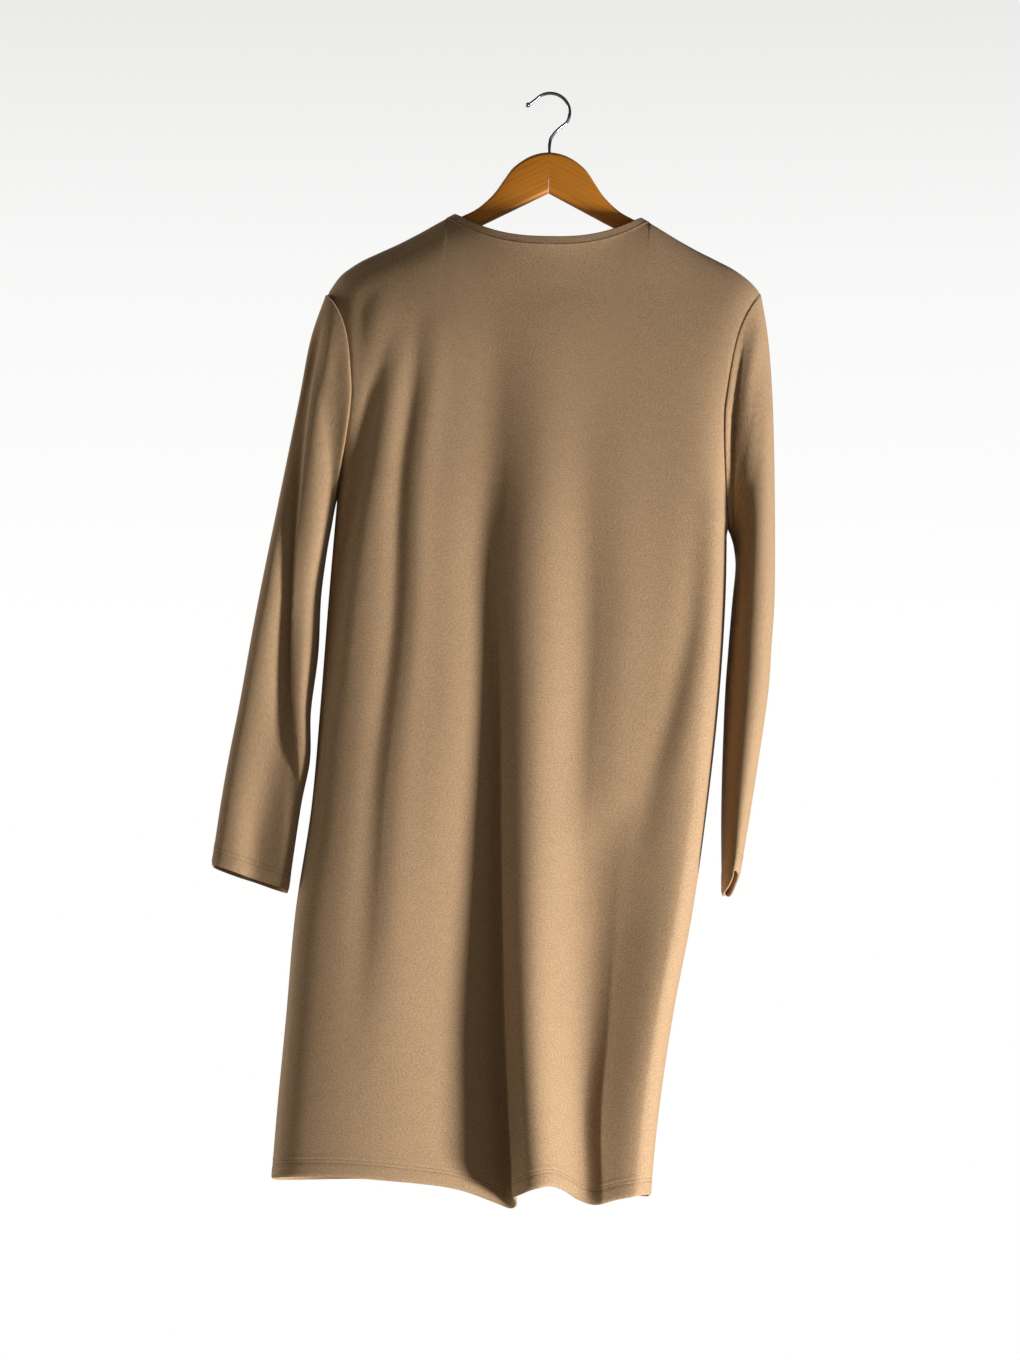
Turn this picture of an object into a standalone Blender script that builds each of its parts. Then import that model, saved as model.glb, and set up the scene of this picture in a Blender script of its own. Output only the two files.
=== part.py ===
"""Long-sleeved knitted tunic top on a wooden clothes hanger.

The cloth is a back, a front, two sleeves and a neck band, each a closed solid one wall thick, and
the hanger is two wooden arms and a wire hook. The origin is the inside of the hook's crown, where
a rod carries it. +Z is up, the garment's back faces -Y, and the wearer's left sleeve is at -X.
Sizes are in millimetres and become metres where a mesh is made. Heights are given as drops below
the origin.
"""
import math

import bmesh
import bpy
import numpy as np

MM = 0.001
BACK = -1.0
FRONT = 1.0
LEFT = -1.0
RIGHT = 1.0

# Cloth
WALL = 1.4
SEAM_GAP = 0.3
BAND_RISE = 0.3

# Hanger and hook
HANGER_TILT = math.radians(1.2)
HANGER_THICKNESS = 12.0
HANGER_EDGE_RADIUS = 4.5
HANGER_EDGE_LIMIT = 0.9
HANGER_END = 190.0
HANGER_END_ROUND = 11.0
HANGER_END_TURNS = (0.0, 30.0, 50.0, 66.0, 78.0)
HANGER_END_THINNED = 0.35
WIRE_RADIUS = 1.6
HOOK_RADIUS = 19.0
HOOK_BALL_RADIUS = 2.5
HOOK_BALL_NECK = 2.4
HOOK_BALL_STEPS = 9
HOOK_TIP_SHARE = 0.25
STEM_DEPTH = 26.0
STEM_CLEARANCE = 0.3
BORE_OVERRUN = 4.0

# One arm in the hanger's own frame: distance from the middle, drop of its top, drop of its underside
ARM = np.array([
    (0.0, 57.7, 98.0),
    (10.0, 59.2, 103.2),
    (19.5, 62.7, 108.2),
    (29.3, 69.0, 113.3),
    (37.0, 76.2, 117.4),
    (42.0, 83.6, 120.0),
    (46.5, 90.6, 122.3),
    (53.0, 100.0, 125.8),
    (58.5, 106.0, 128.6),
    (68.0, 114.5, 133.6),
    (84.5, 123.7, 143.0),
    (105.0, 133.8, 153.0),
    (125.0, 144.2, 163.2),
    (145.0, 155.0, 173.4),
    (165.0, 164.8, 182.5),
    (190.0, 178.5, 194.0),
])

# Shoulder seam in the hanger's frame: distance from the middle, drop
SHOULDER = (
    (90.5, 120.8),
    (105.0, 129.0),
    (125.0, 141.0),
    (145.0, 152.0),
    (165.0, 161.8),
    (183.0, 171.2),
    (192.0, 177.5),
    (200.0, 184.3),
)
SHOULDER_TIP = {LEFT: (213.0, 203.5), RIGHT: (208.0, 193.5)}

# Neck opening in the hanger's frame: the free edge and the stitch line that the panels start from
NECK_HALF_WIDTH = 90.5
NECK_LINE_HALF_WIDTH = 98.5
NECK_DROP = {BACK: 26.0, FRONT: 75.0}
NECK_LINE_DROP = {BACK: 30.8, FRONT: 80.0}
NECK_DEPTH = {BACK: 28.0, FRONT: 31.0}
NECK_LINE_DEPTH = {BACK: 30.0, FRONT: 34.0}
NECK_SHAPE = 2.5
NECK_SQUARE_RATE = 2.5

# Armholes: lowest point of each (x, drop), how far the seam bows in, half its depth front to back
UNDERARM = {LEFT: (-206.4, 396.0), RIGHT: (170.8, 430.0)}
ARMHOLE_BOW = 20.0
ARMHOLE_BOW_UPPER = 4.0
ARMHOLE_BOW_LOWER = 1.3
ARMHOLE_HALF_DEPTH = 34.0
ARMHOLE_CROWD = 1.35
ARMHOLE_REACH = 0.28
SHOULDER_LEAN = 0.6
UNDERARM_LEAN = 0.12

# Side seams of the body: drop, left x, right x
SIDES = np.array([
    (396.0, -206.4, 171.0),
    (500.0, -214.7, 168.7),
    (600.0, -222.0, 161.5),
    (700.0, -230.4, 150.0),
    (800.0, -245.2, 135.5),
    (900.0, -253.6, 116.0),
    (1000.0, -262.5, 101.0),
    (1090.0, -269.0, 92.0),
])

# Half the body's depth at its middle: drop, back, front
BODY_DEPTH = np.array([
    (200.0, 36.0, 38.0),
    (300.0, 41.0, 42.0),
    (400.0, 45.0, 44.0),
    (600.0, 45.0, 46.0),
    (800.0, 43.0, 48.0),
    (1000.0, 46.0, 50.0),
    (1090.0, 47.0, 50.0),
])

# Drop of the hem along each panel before its folds are put in: x, drop
HEM = {
    BACK: np.array([
        (-268.0, 1053.0),
        (-190.0, 1054.0),
        (-145.0, 1058.5),
        (-112.0, 1065.0),
        (-87.0, 1077.0),
        (-73.0, 1082.0),
        (-52.0, 1077.5),
        (-35.0, 1072.0),
        (-18.0, 1066.0),
        (4.0, 1063.5),
        (13.0, 1067.0),
        (24.0, 1074.0),
        (36.0, 1079.0),
        (62.0, 1074.5),
        (93.0, 1069.0),
    ]),
    FRONT: np.array([
        (-268.0, 1053.0),
        (-180.0, 1052.0),
        (-90.0, 1058.0),
        (0.0, 1056.0),
        (50.0, 1063.0),
        (93.0, 1069.0),
    ]),
}

# Folds of each panel: the line down a fold's middle by three points, half width, sideways lap,
# depth, and the drops where it starts, is full, fades and ends
FOLD_COLUMNS = ("x1", "drop1", "x2", "drop2", "x3", "drop3",
                "width", "lap", "depth", "start", "full", "fade", "end")
FOLDS = {
    BACK: (
        (-10.0, 300.0, -42.4, 553.0, -34.0, 1075.0, 29.0, 30.0, 22.0, 235.0, 800.0, 1400.0, 1500.0),
        (-125.9, 253.0, -139.6, 505.0, -176.4, 840.0, 20.0, 4.0, 9.0, 200.0, 360.0, 620.0, 930.0),
        (-145.1, 271.0, -173.5, 408.0, -203.1, 620.0, 16.0, 2.0, 6.0, 225.0, 320.0, 460.0, 660.0),
        (46.0, 361.0, 42.0, 602.0, 32.0, 760.0, 22.0, 3.0, 6.0, 280.0, 430.0, 700.0, 900.0),
        (133.0, 387.0, 123.0, 503.0, 94.0, 676.0, 18.0, 2.0, 4.0, 330.0, 430.0, 620.0, 760.0),
        (83.0, 868.0, 54.7, 954.0, 38.0, 1075.0, 21.0, 3.0, 9.0, 760.0, 1010.0, 1400.0, 1500.0),
    ),
    FRONT: (
        (20.0, 320.0, 0.0, 600.0, -40.0, 1070.0, 26.0, 8.0, 13.0, 260.0, 820.0, 1400.0, 1500.0),
        (-120.0, 300.0, -140.0, 600.0, -170.0, 1060.0, 22.0, 5.0, 9.0, 240.0, 700.0, 1400.0, 1500.0),
        (100.0, 380.0, 80.0, 650.0, 40.0, 1060.0, 18.0, 4.0, 7.0, 300.0, 640.0, 950.0, 1200.0),
    ),
}
FOLD_SEAM_MARGIN = 26.0

# The body's section: how round it is, how square its sides are at the underarm and further down,
# and the length over which one becomes the other
BODY_ROUND = 2.4
UNDERARM_SQUARENESS = 0.30
SIDE_SQUARENESS = 0.44
SIDE_RELAX = 110.0

# Sleeves: a row for each station down the sleeve. The outer and inner edges in x and drop, half
# the depth front to back, the middle in y, and how far the back side leans to -X per mm of depth
SLEEVE_COLUMNS = ("outer_x", "outer_drop", "inner_x", "inner_drop", "depth", "middle", "lean")
SLEEVES = {
    LEFT: (
        (-232.5, 245.0, -208.8, 406.0, 41.0, 0.0, 0.0),
        (-243.5, 305.0, -211.6, 422.0, 47.0, 0.0, 0.0),
        (-261.8, 402.0, -216.6, 450.0, 51.0, 1.0, 0.02),
        (-278.0, 490.0, -221.8, 493.0, 49.0, 2.0, 0.10),
        (-287.6, 545.0, -224.2, 548.0, 46.0, 3.0, 0.16),
        (-298.6, 602.0, -231.0, 604.0, 43.0, 4.0, 0.08),
        (-308.0, 648.0, -231.6, 651.0, 41.0, 4.0, 0.02),
        (-315.6, 692.0, -240.0, 696.0, 39.0, 4.0, 0.0),
        (-324.6, 755.0, -251.8, 780.0, 34.0, 3.0, 0.0),
    ),
    RIGHT: (
        (210.8, 245.0, 174.2, 437.0, 43.0, 0.0, 0.0),
        (214.2, 305.0, 176.8, 446.0, 50.0, 0.0, 0.0),
        (215.4, 402.0, 178.4, 464.0, 56.0, 0.0, 0.0),
        (214.6, 495.0, 174.8, 500.0, 58.0, 0.0, 0.0),
        (211.2, 545.0, 170.6, 548.0, 57.0, 0.0, 0.0),
        (207.0, 596.0, 167.0, 598.0, 55.0, 0.0, 0.0),
        (192.2, 692.0, 163.4, 694.0, 52.0, 0.0, 0.0),
        (179.4, 768.0, 163.2, 782.0, 48.0, 0.0, 0.0),
    ),
}
SLEEVE_FOLDS = {
    LEFT: (
        (-226.0, 270.0, -247.7, 504.0, -240.0, 696.0, 14.0, 5.5, 9.0, 200.0, 330.0, 650.0, 770.0),
    ),
    RIGHT: (
        (193.0, 245.0, 185.0, 358.0, 175.7, 458.0, 11.0, 4.5, 10.0, 190.0, 300.0, 420.0, 560.0),
    ),
}
CUFF_PINCH = {LEFT: 0.34, RIGHT: 0.0}
CUFF_PINCH_X = -285.0
CUFF_PINCH_WIDTH = 13.0
CUFF_PINCH_START = 640.0
CUFF_PINCH_LENGTH = 130.0

# The sleeve's section, the stations over which the armhole's bow fades out of it, and how far its
# folds keep from the sleeve's edges as seen from the back
SLEEVE_ROUND = 0.9
SLEEVE_BOW_STATIONS = 2.2
SLEEVE_FOLD_RIM = 0.5

# Mesh density
ARMHOLE_ROWS = 12
NECK_ROW_CROWD = 1.15
NECK_STILL_ROWS = 3
BODY_ROWS = 18
SHOULDER_COLUMNS = 7
NECK_COLUMNS = 16
FOLD_CROWD = 1.1
FOLD_CROWD_WIDTH = 0.11
SIDE_CROWD = 1.2
SIDE_CROWD_WIDTH = 0.06
COLUMN_SAMPLES = 401
SHARP_ANGLE = math.radians(50)
SLEEVE_RINGS = 20
HOOK_POINTS = 40

# Linear colour, roughness, metallic
FINISHES = {
    "cloth": ((0.42, 0.29, 0.18), 0.9, 0.0),
    "wood": ((0.50, 0.19, 0.05), 0.38, 0.0),
    "chrome": ((0.80, 0.80, 0.82), 0.12, 1.0),
}


def smooth(share):
    """Ease from 0 to 1 with level ends."""
    share = np.clip(share, 0.0, 1.0)
    return share * share * (3.0 - 2.0 * share)


def curve(at, xs, ys):
    """Smooth curve through the points (xs, ys), read at the given places."""
    xs = np.asarray(xs, float)
    ys = np.asarray(ys, float)
    slopes = np.gradient(ys, xs)
    at = np.clip(at, xs[0], xs[-1])
    low = np.clip(np.searchsorted(xs, at) - 1, 0, len(xs) - 2)
    span = xs[low + 1] - xs[low]
    t = (at - xs[low]) / span
    return (
        (1 + 2 * t) * (1 - t) ** 2 * ys[low]
        + t * (1 - t) ** 2 * span * slopes[low]
        + t * t * (3 - 2 * t) * ys[low + 1]
        + t * t * (t - 1) * span * slopes[low + 1]
    )


def unit(vectors):
    """Vectors of length one."""
    return vectors / np.linalg.norm(vectors, axis=-1, keepdims=True)


def tilted(x, drop):
    """Place in the garment of a point given in the hanger's own frame, as x and drop."""
    cosine = math.cos(HANGER_TILT)
    sine = math.sin(HANGER_TILT)
    return x * cosine - drop * sine, drop * cosine + x * sine


def shoulder_line(side, distances):
    """x and drop of the shoulder seam at these distances from the hanger's middle."""
    rows = np.array(SHOULDER + (SHOULDER_TIP[side],))
    return tilted(side * distances, curve(distances, rows[:, 0], rows[:, 1]))


def armhole_angles():
    """Angles down one half of an armhole, 0 at the shoulder tip and pi at the underarm."""
    return math.pi * np.linspace(0.0, 1.0, ARMHOLE_ROWS + 1) ** ARMHOLE_CROWD


def armhole(side, face, angles):
    """Points of an armhole seam, the outward direction there, and the way into the body."""
    tip_x, tip_drop = shoulder_line(side, np.array(SHOULDER_TIP[side][0]))
    low_x, low_drop = UNDERARM[side]
    cosine = np.cos(angles)
    power = np.where(cosine > 0, ARMHOLE_BOW_UPPER, ARMHOLE_BOW_LOWER)
    bow = ARMHOLE_BOW * (1 - np.abs(cosine) ** power)
    points = np.stack([
        (tip_x + low_x) / 2 + (tip_x - low_x) / 2 * cosine - side * bow,
        face * ARMHOLE_HALF_DEPTH * np.sin(angles),
        -(tip_drop + low_drop) / 2 - (tip_drop - low_drop) / 2 * cosine,
    ], axis=-1)
    lean = side * (SHOULDER_LEAN * cosine * (1 + cosine) + UNDERARM_LEAN * (1 - cosine)) / 2
    outward = unit(np.stack([
        lean,
        face * np.sin(angles),
        cosine,
    ], axis=-1))
    along = unit(np.gradient(points, axis=0))
    along[0] = (0.0, face, 0.0)
    along[-1] = (0.0, -face, 0.0)
    inward = unit(np.cross(outward, along))
    inward *= np.where(inward[:, :1] * side > 0, -1.0, 1.0)
    return points, outward, inward


def neck_ring(face, shares, free_edge):
    """Points on half of the neck ring: its free edge, or the stitch line round it."""
    if free_edge:
        half_width, drop, depth = NECK_HALF_WIDTH, NECK_DROP[face], NECK_DEPTH[face]
    else:
        half_width, drop, depth = NECK_LINE_HALF_WIDTH, NECK_LINE_DROP[face], NECK_LINE_DEPTH[face]
    rows = np.array(SHOULDER)
    side_drop = curve(half_width, rows[:, 0], rows[:, 1])
    x, drops = tilted(half_width * shares, side_drop + drop * (1 - np.abs(shares) ** NECK_SHAPE))
    return np.stack([x, face * depth * np.sqrt(1 - shares ** 2), -drops], axis=-1)


def neck_shares():
    """Places across the neck from -1 at the left shoulder to 1 at the right one."""
    return -np.cos(np.linspace(0.0, math.pi, NECK_COLUMNS + 1))


def neck_frame(face):
    """Neck line of a panel, the outward direction there, and the way from the neck outward."""
    shares = neck_shares()
    free = neck_ring(face, shares, True)
    line = neck_ring(face, shares, False)
    away = unit(line - free)
    along = np.gradient(line, axis=0)
    along[0] = (0.0, face, 0.0)
    along[-1] = (0.0, -face, 0.0)
    outward = unit(np.cross(along, away)) * face
    return line, outward, away


def fold_shift(folds, points, face, edge_share):
    """Move points sideways and in depth, so that cloth right of each fold laps over its left."""
    moved = points.copy()
    for row in folds:
        fold = dict(zip(FOLD_COLUMNS, row))
        drop = -points[..., 2]
        middle = curve(
            drop,
            (fold["drop1"], fold["drop2"], fold["drop3"]),
            (fold["x1"], fold["x2"], fold["x3"]),
        )
        across = (points[..., 0] - middle) / fold["width"]
        swing = -across * np.exp((1 - across ** 2) / 2)
        strength = smooth((drop - fold["start"]) / (fold["full"] - fold["start"]))
        strength = strength * (1 - smooth((drop - fold["fade"]) / (fold["end"] - fold["fade"])))
        strength = strength * edge_share
        moved[..., 0] += fold["lap"] * swing * strength
        moved[..., 1] -= face * fold["depth"] * swing * strength
    return moved


def outward_normals(points, closed):
    """Outward directions of a grid of points, whose rows run down and columns across."""
    if closed:
        wrapped = np.concatenate([points[:, -1:], points, points[:, :1]], axis=1)
        across = np.gradient(wrapped, axis=1)[:, 1:-1]
    else:
        across = np.gradient(points, axis=1)
    return unit(np.cross(across, -np.gradient(points, axis=0)))


def panel_columns(face):
    """Top edge of a panel from left tip to right tip: x, drop, y and how square the neck sits."""
    down = np.linspace(1.0, 0.0, SHOULDER_COLUMNS + 1)[:-1]
    parts = []
    for side in (LEFT, RIGHT):
        tip = SHOULDER_TIP[side][0]
        distances = NECK_LINE_HALF_WIDTH + (tip - NECK_LINE_HALF_WIDTH) * down
        x, drop = shoulder_line(side, distances)
        parts.append(np.stack([x, drop, 0 * x, 0 * x], axis=-1))
    line = neck_frame(face)[0]
    squareness = smooth(NECK_SQUARE_RATE * (1 - np.abs(neck_shares())))
    neck = np.stack([line[:, 0], -line[:, 2], line[:, 1], squareness], axis=-1)
    return np.concatenate([parts[0], neck, parts[1][::-1]])


def panel_grid(face):
    """Outer surface of the back or front before gaps, with the outward directions."""
    top = panel_columns(face)
    count = len(top)
    share = np.linspace(0.0, 1.0, count)
    low_share = column_places(count)
    top_share = (top[:, 0] - top[0, 0]) / (top[-1, 0] - top[0, 0])
    underarm_drop = np.interp(share, (0.0, 1.0), (UNDERARM[LEFT][1], UNDERARM[RIGHT][1]))
    depth_column = 1 if face == BACK else 2
    angles = armhole_angles()
    left = armhole(LEFT, face, angles)
    right = armhole(RIGHT, face, angles)
    rows = []
    for index, angle in enumerate(angles):
        steady = (index / ARMHOLE_ROWS) ** NECK_ROW_CROWD
        fall_at_sides = (1 - math.cos(angle)) / 2
        fall = fall_at_sides + (steady - fall_at_sides) * top[:, 3]
        drop = top[:, 1] + (underarm_drop - top[:, 1]) * fall
        blend = smooth((index - NECK_STILL_ROWS) / (ARMHOLE_ROWS - NECK_STILL_ROWS))
        place = top_share + (low_share - top_share) * blend
        place = drawn_to_fold(place, left[0][index, 0], right[0][index, 0], drop[count // 2], face, blend)
        x = across_body(left[0][:, 0], right[0][:, 0], fall_at_sides, place, index)
        middle = curve(drop, BODY_DEPTH[:, 0], BODY_DEPTH[:, depth_column])
        rise = math.sin(min(angle, math.pi / 2)) ** (1 + top[:, 3])
        inner = np.abs(top[:, 2]) + (middle - np.abs(top[:, 2])) * rise
        edge = ARMHOLE_HALF_DEPTH * math.sin(angle)
        settle = smooth(angle / (math.pi / 2))
        bend = smooth((angle - math.pi / 2) / (math.pi / 2))
        fullness = body_round(place, 1.0 - (1.0 - UNDERARM_SQUARENESS) * bend)
        fullness = 1 - (1 - fullness) * settle
        fullness[[0, -1]] = 0.0
        y = edge + (inner - edge) * fullness
        rows.append(np.stack([x, face * y, -drop], axis=-1))
    lowest = HEM[face][:, 1].mean()
    hem_place = drawn_to_fold(low_share, HEM[face][0, 0], HEM[face][-1, 0], lowest, face, 1.0)
    hem_x = HEM[face][0, 0] + (HEM[face][-1, 0] - HEM[face][0, 0]) * hem_place
    hem_drop = curve(hem_x, HEM[face][:, 0], HEM[face][:, 1])
    for index in range(1, BODY_ROWS + 1):
        drop = underarm_drop + (hem_drop - underarm_drop) * index / BODY_ROWS
        start = curve(drop[0], SIDES[:, 0], SIDES[:, 1])
        stop = curve(drop[-1], SIDES[:, 0], SIDES[:, 2])
        place = drawn_to_fold(low_share, start, stop, drop[count // 2], face, 1.0)
        x = start + (stop - start) * place
        middle = curve(drop, BODY_DEPTH[:, 0], BODY_DEPTH[:, depth_column])
        relaxed = smooth((drop[0] - UNDERARM[LEFT][1]) / SIDE_RELAX)
        power = UNDERARM_SQUARENESS + (SIDE_SQUARENESS - UNDERARM_SQUARENESS) * relaxed
        rows.append(np.stack([x, face * middle * body_round(place, power), -drop], axis=-1))
    grid = np.array(rows)
    reach = np.minimum(grid[..., 0] - grid[:, :1, 0], grid[:, -1:, 0] - grid[..., 0])
    grid = fold_shift(FOLDS[face], grid, face, smooth(reach / FOLD_SEAM_MARGIN))
    normals = outward_normals(grid, False) * -face
    set_panel_edges(grid, normals, face, left, right)
    return grid, normals


def across_body(left_x, right_x, fall, places, index):
    """x of a row's points between two armholes, whose bow is only felt near the sides."""
    start = left_x[0] + (left_x[-1] - left_x[0]) * fall
    stop = right_x[0] + (right_x[-1] - right_x[0]) * fall
    near_left = 1 - smooth(places / ARMHOLE_REACH)
    near_right = 1 - smooth((1 - places) / ARMHOLE_REACH)
    bows = (left_x[index] - start) * near_left + (right_x[index] - stop) * near_right
    return start + (stop - start) * places + bows


def column_places(count):
    """Places of the columns across a panel from 0 to 1, closer at its main fold and its sides."""
    fine = np.linspace(0.0, 1.0, COLUMN_SAMPLES)
    closeness = (
        1.0
        + FOLD_CROWD * np.exp(-(((fine - 0.5) / FOLD_CROWD_WIDTH) ** 2))
        + SIDE_CROWD * np.exp(-((fine / SIDE_CROWD_WIDTH) ** 2))
        + SIDE_CROWD * np.exp(-(((1 - fine) / SIDE_CROWD_WIDTH) ** 2))
    )
    total = np.concatenate([[0.0], np.cumsum((closeness[1:] + closeness[:-1]) / 2)])
    return np.interp(np.linspace(0.0, total[-1], count), total, fine)


def drawn_to_fold(places, start, stop, drop, face, share):
    """Columns moved sideways so that the middle one runs down the panel's main fold."""
    fold = dict(zip(FOLD_COLUMNS, FOLDS[face][0]))
    middle = curve(
        drop,
        (fold["drop1"], fold["drop2"], fold["drop3"]),
        (fold["x1"], fold["x2"], fold["x3"]),
    )
    offset = (middle - start) / (stop - start) - 0.5
    return places + share * offset * 4 * places * (1 - places)


def body_round(share, power):
    """Fullness across the body, 1 in the middle and 0 at the side seams."""
    offset = np.abs(2 * share - 1)
    return (1 - offset ** BODY_ROUND) ** power


def set_panel_edges(grid, normals, face, left, right):
    """Give a panel's edges the directions of its seams, and draw them back by half a gap."""
    half = SEAM_GAP / 2
    for column, seam in ((0, left), (-1, right)):
        points, outward, inward = seam
        normals[:ARMHOLE_ROWS + 1, column] = outward
        normals[ARMHOLE_ROWS + 1:, column] = (-1.0 if column == 0 else 1.0, 0.0, 0.0)
        grid[:ARMHOLE_ROWS + 1, column] = points + inward * half
        grid[ARMHOLE_ROWS:, column, 1] += face * half
    line, outward, away = neck_frame(face)
    first = SHOULDER_COLUMNS
    last = first + len(line)
    for start, stop in ((1, first), (last, len(grid[0]) - 1)):
        slope = np.gradient(grid[0], axis=0)[start:stop]
        flat = np.stack([-slope[:, 2], 0 * slope[:, 0], slope[:, 0]], axis=-1)
        normals[0, start:stop] = unit(flat)
    normals[0, first:last] = outward
    grid[0, first:last] = line + away * half
    for column in list(range(0, first + 1)) + list(range(last - 1, len(grid[0]))):
        grid[0, column, 1] += face * half


def sleeve_grid(side):
    """Outer surface of a sleeve from the armhole to the wrist, as closed rings."""
    angles = armhole_angles()
    back = armhole(side, BACK, angles)
    front = armhole(side, FRONT, angles)
    loop = [np.concatenate([b, f[-2:0:-1]]) for b, f in zip(back, front)]
    points, outward, inward = loop
    turn = np.concatenate([angles, 2 * math.pi - angles[-2:0:-1]])
    tip_x, tip_drop = shoulder_line(side, np.array(SHOULDER_TIP[side][0]))
    low_x, low_drop = UNDERARM[side]
    top = (tip_x, tip_drop, low_x, low_drop, ARMHOLE_HALF_DEPTH, 0.0, 0.0)
    stations = np.array((top,) + SLEEVES[side])
    steps = np.arange(len(stations), dtype=float)
    along = np.linspace(0.0, len(stations) - 1.0, SLEEVE_RINGS + 1)
    values = {name: curve(along, steps, stations[:, i]) for i, name in enumerate(SLEEVE_COLUMNS)}
    cosine = np.cos(turn)
    sine = np.sin(turn)
    bow = points[:, 0] - (tip_x + low_x) / 2 - (tip_x - low_x) / 2 * cosine
    rings = []
    for i, place in enumerate(along):
        v = {name: column[i] for name, column in values.items()}
        bulge = np.sign(sine) * np.abs(sine) ** SLEEVE_ROUND
        y = v["middle"] - v["depth"] * bulge
        x = (v["outer_x"] + v["inner_x"]) / 2 + (v["outer_x"] - v["inner_x"]) / 2 * cosine
        x = x + bow * (1 - smooth(place / SLEEVE_BOW_STATIONS)) - v["lean"] * np.maximum(-y, 0.0)
        drop = (v["outer_drop"] + v["inner_drop"]) / 2
        drop = drop + (v["outer_drop"] - v["inner_drop"]) / 2 * cosine
        pinch = CUFF_PINCH[side] * smooth((drop - CUFF_PINCH_START) / CUFF_PINCH_LENGTH)
        pinch = pinch * np.exp(-(((x - CUFF_PINCH_X) / CUFF_PINCH_WIDTH) ** 2))
        y = v["middle"] + (y - v["middle"]) * (1 - pinch)
        rings.append(np.stack([x, y, -drop], axis=-1))
    grid = np.array(rings)
    near = smooth(sine / SLEEVE_FOLD_RIM)[None, :] * smooth(along)[:, None]
    grid = fold_shift(SLEEVE_FOLDS[side], grid, BACK, near)
    if side == RIGHT:
        grid = grid[:, ::-1]
        points, outward, inward = points[::-1], outward[::-1], inward[::-1]
    grid[0] = points
    normals = outward_normals(grid, True)
    normals[0] = outward
    grid[0] = points - inward * SEAM_GAP / 2
    return grid, normals


def band_grid():
    """Outer surface of the neck band, from its free edge to the neck line, as closed rings."""
    rings = []
    for share in (0.0, 0.5, 1.0):
        halves = []
        for face in (BACK, FRONT):
            shares = neck_shares()
            free = neck_ring(face, shares, True)
            line = neck_ring(face, shares, False)
            away = unit(line - free)
            ring = free + (line - away * SEAM_GAP / 2 - free) * share
            halves.append(ring)
        rings.append(np.concatenate([halves[0], halves[1][-2:0:-1]]))
    directions = [neck_frame(face)[1] for face in (BACK, FRONT)]
    outward = np.concatenate([directions[0], directions[1][-2:0:-1]])
    normals = np.repeat(outward[None], len(rings), axis=0)
    return np.array(rings) + normals * BAND_RISE, normals


def wall(name, outer, normals, thickness, closed, finish):
    """Closed solid between a grid of outer points and the same grid moved in by the thickness.

    Two pieces that meet at a seam share the directions along it, so their edges stay parallel.
    """
    inner = outer - normals * thickness
    rows, columns = outer.shape[:2]
    size = rows * columns
    index = np.arange(size).reshape(rows, columns)
    if closed:
        index = np.concatenate([index, index[:, :1]], axis=1)

    def quads(a, b, c, d):
        return np.stack([a, b, c, d], axis=-1).reshape(-1, 4)

    here, right = index[:-1, :-1], index[:-1, 1:]
    below, across = index[1:, :-1], index[1:, 1:]
    faces = [
        quads(here, below, across, right),
        quads(here, right, across, below) + size,
        quads(index[0, :-1], index[0, 1:], index[0, 1:] + size, index[0, :-1] + size),
        quads(index[-1, 1:], index[-1, :-1], index[-1, :-1] + size, index[-1, 1:] + size),
    ]
    if not closed:
        faces.append(quads(index[1:, 0], index[:-1, 0], index[:-1, 0] + size, index[1:, 0] + size))
        faces.append(quads(index[:-1, -1], index[1:, -1], index[1:, -1] + size, index[:-1, -1] + size))
    points = np.concatenate([outer.reshape(-1, 3), inner.reshape(-1, 3)]) * MM
    return mesh_object(name, points, np.concatenate(faces), finish)


def mesh_object(name, points, faces, finish):
    """Object from points in metres and faces, with its faces turned outward."""
    mesh = bpy.data.meshes.new(name)
    mesh.from_pydata(points.tolist(), [], [tuple(face) for face in faces])
    shell = bmesh.new()
    shell.from_mesh(mesh)
    bmesh.ops.triangulate(shell, faces=shell.faces)
    bmesh.ops.recalc_face_normals(shell, faces=shell.faces)
    shell.to_mesh(mesh)
    shell.free()
    mesh.shade_smooth()
    mesh.set_sharp_from_angle(angle=SHARP_ANGLE)
    return add_object(name, mesh, finish)


def add_object(name, data, finish):
    """Object with this data and finish, in the part's collection."""
    data.materials.append(material(finish))
    added = bpy.data.objects.new(name, data)
    part_collection.objects.link(added)
    return added


def material(finish):
    """Principled material of a finish, made once."""
    found = bpy.data.materials.get(finish)
    if found:
        return found
    colour, roughness, metallic = FINISHES[finish]
    made = bpy.data.materials.new(finish)
    made.use_nodes = True
    shader = made.node_tree.nodes["Principled BSDF"]
    shader.inputs["Base Color"].default_value = (*colour, 1.0)
    shader.inputs["Roughness"].default_value = roughness
    shader.inputs["Metallic"].default_value = metallic
    return made


def arm_section(top_drop, low_drop, half_thickness):
    """Upright section of an arm: a rectangle with rounded corners, as y and drop."""
    middle = (top_drop + low_drop) / 2
    half_height = (low_drop - top_drop) / 2
    radius = min(HANGER_EDGE_RADIUS, HANGER_EDGE_LIMIT * min(half_height, half_thickness))
    corners = []
    for quarter in range(4):
        sign_y = (1, -1, -1, 1)[quarter]
        sign_z = (-1, -1, 1, 1)[quarter]
        for step in range(3):
            angle = math.radians(90 * quarter + 45 * step)
            y = sign_y * (half_thickness - radius) + radius * math.cos(angle)
            z = sign_z * (half_height - radius) - radius * math.sin(angle)
            corners.append((y, middle + z))
    return np.array(corners)


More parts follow.
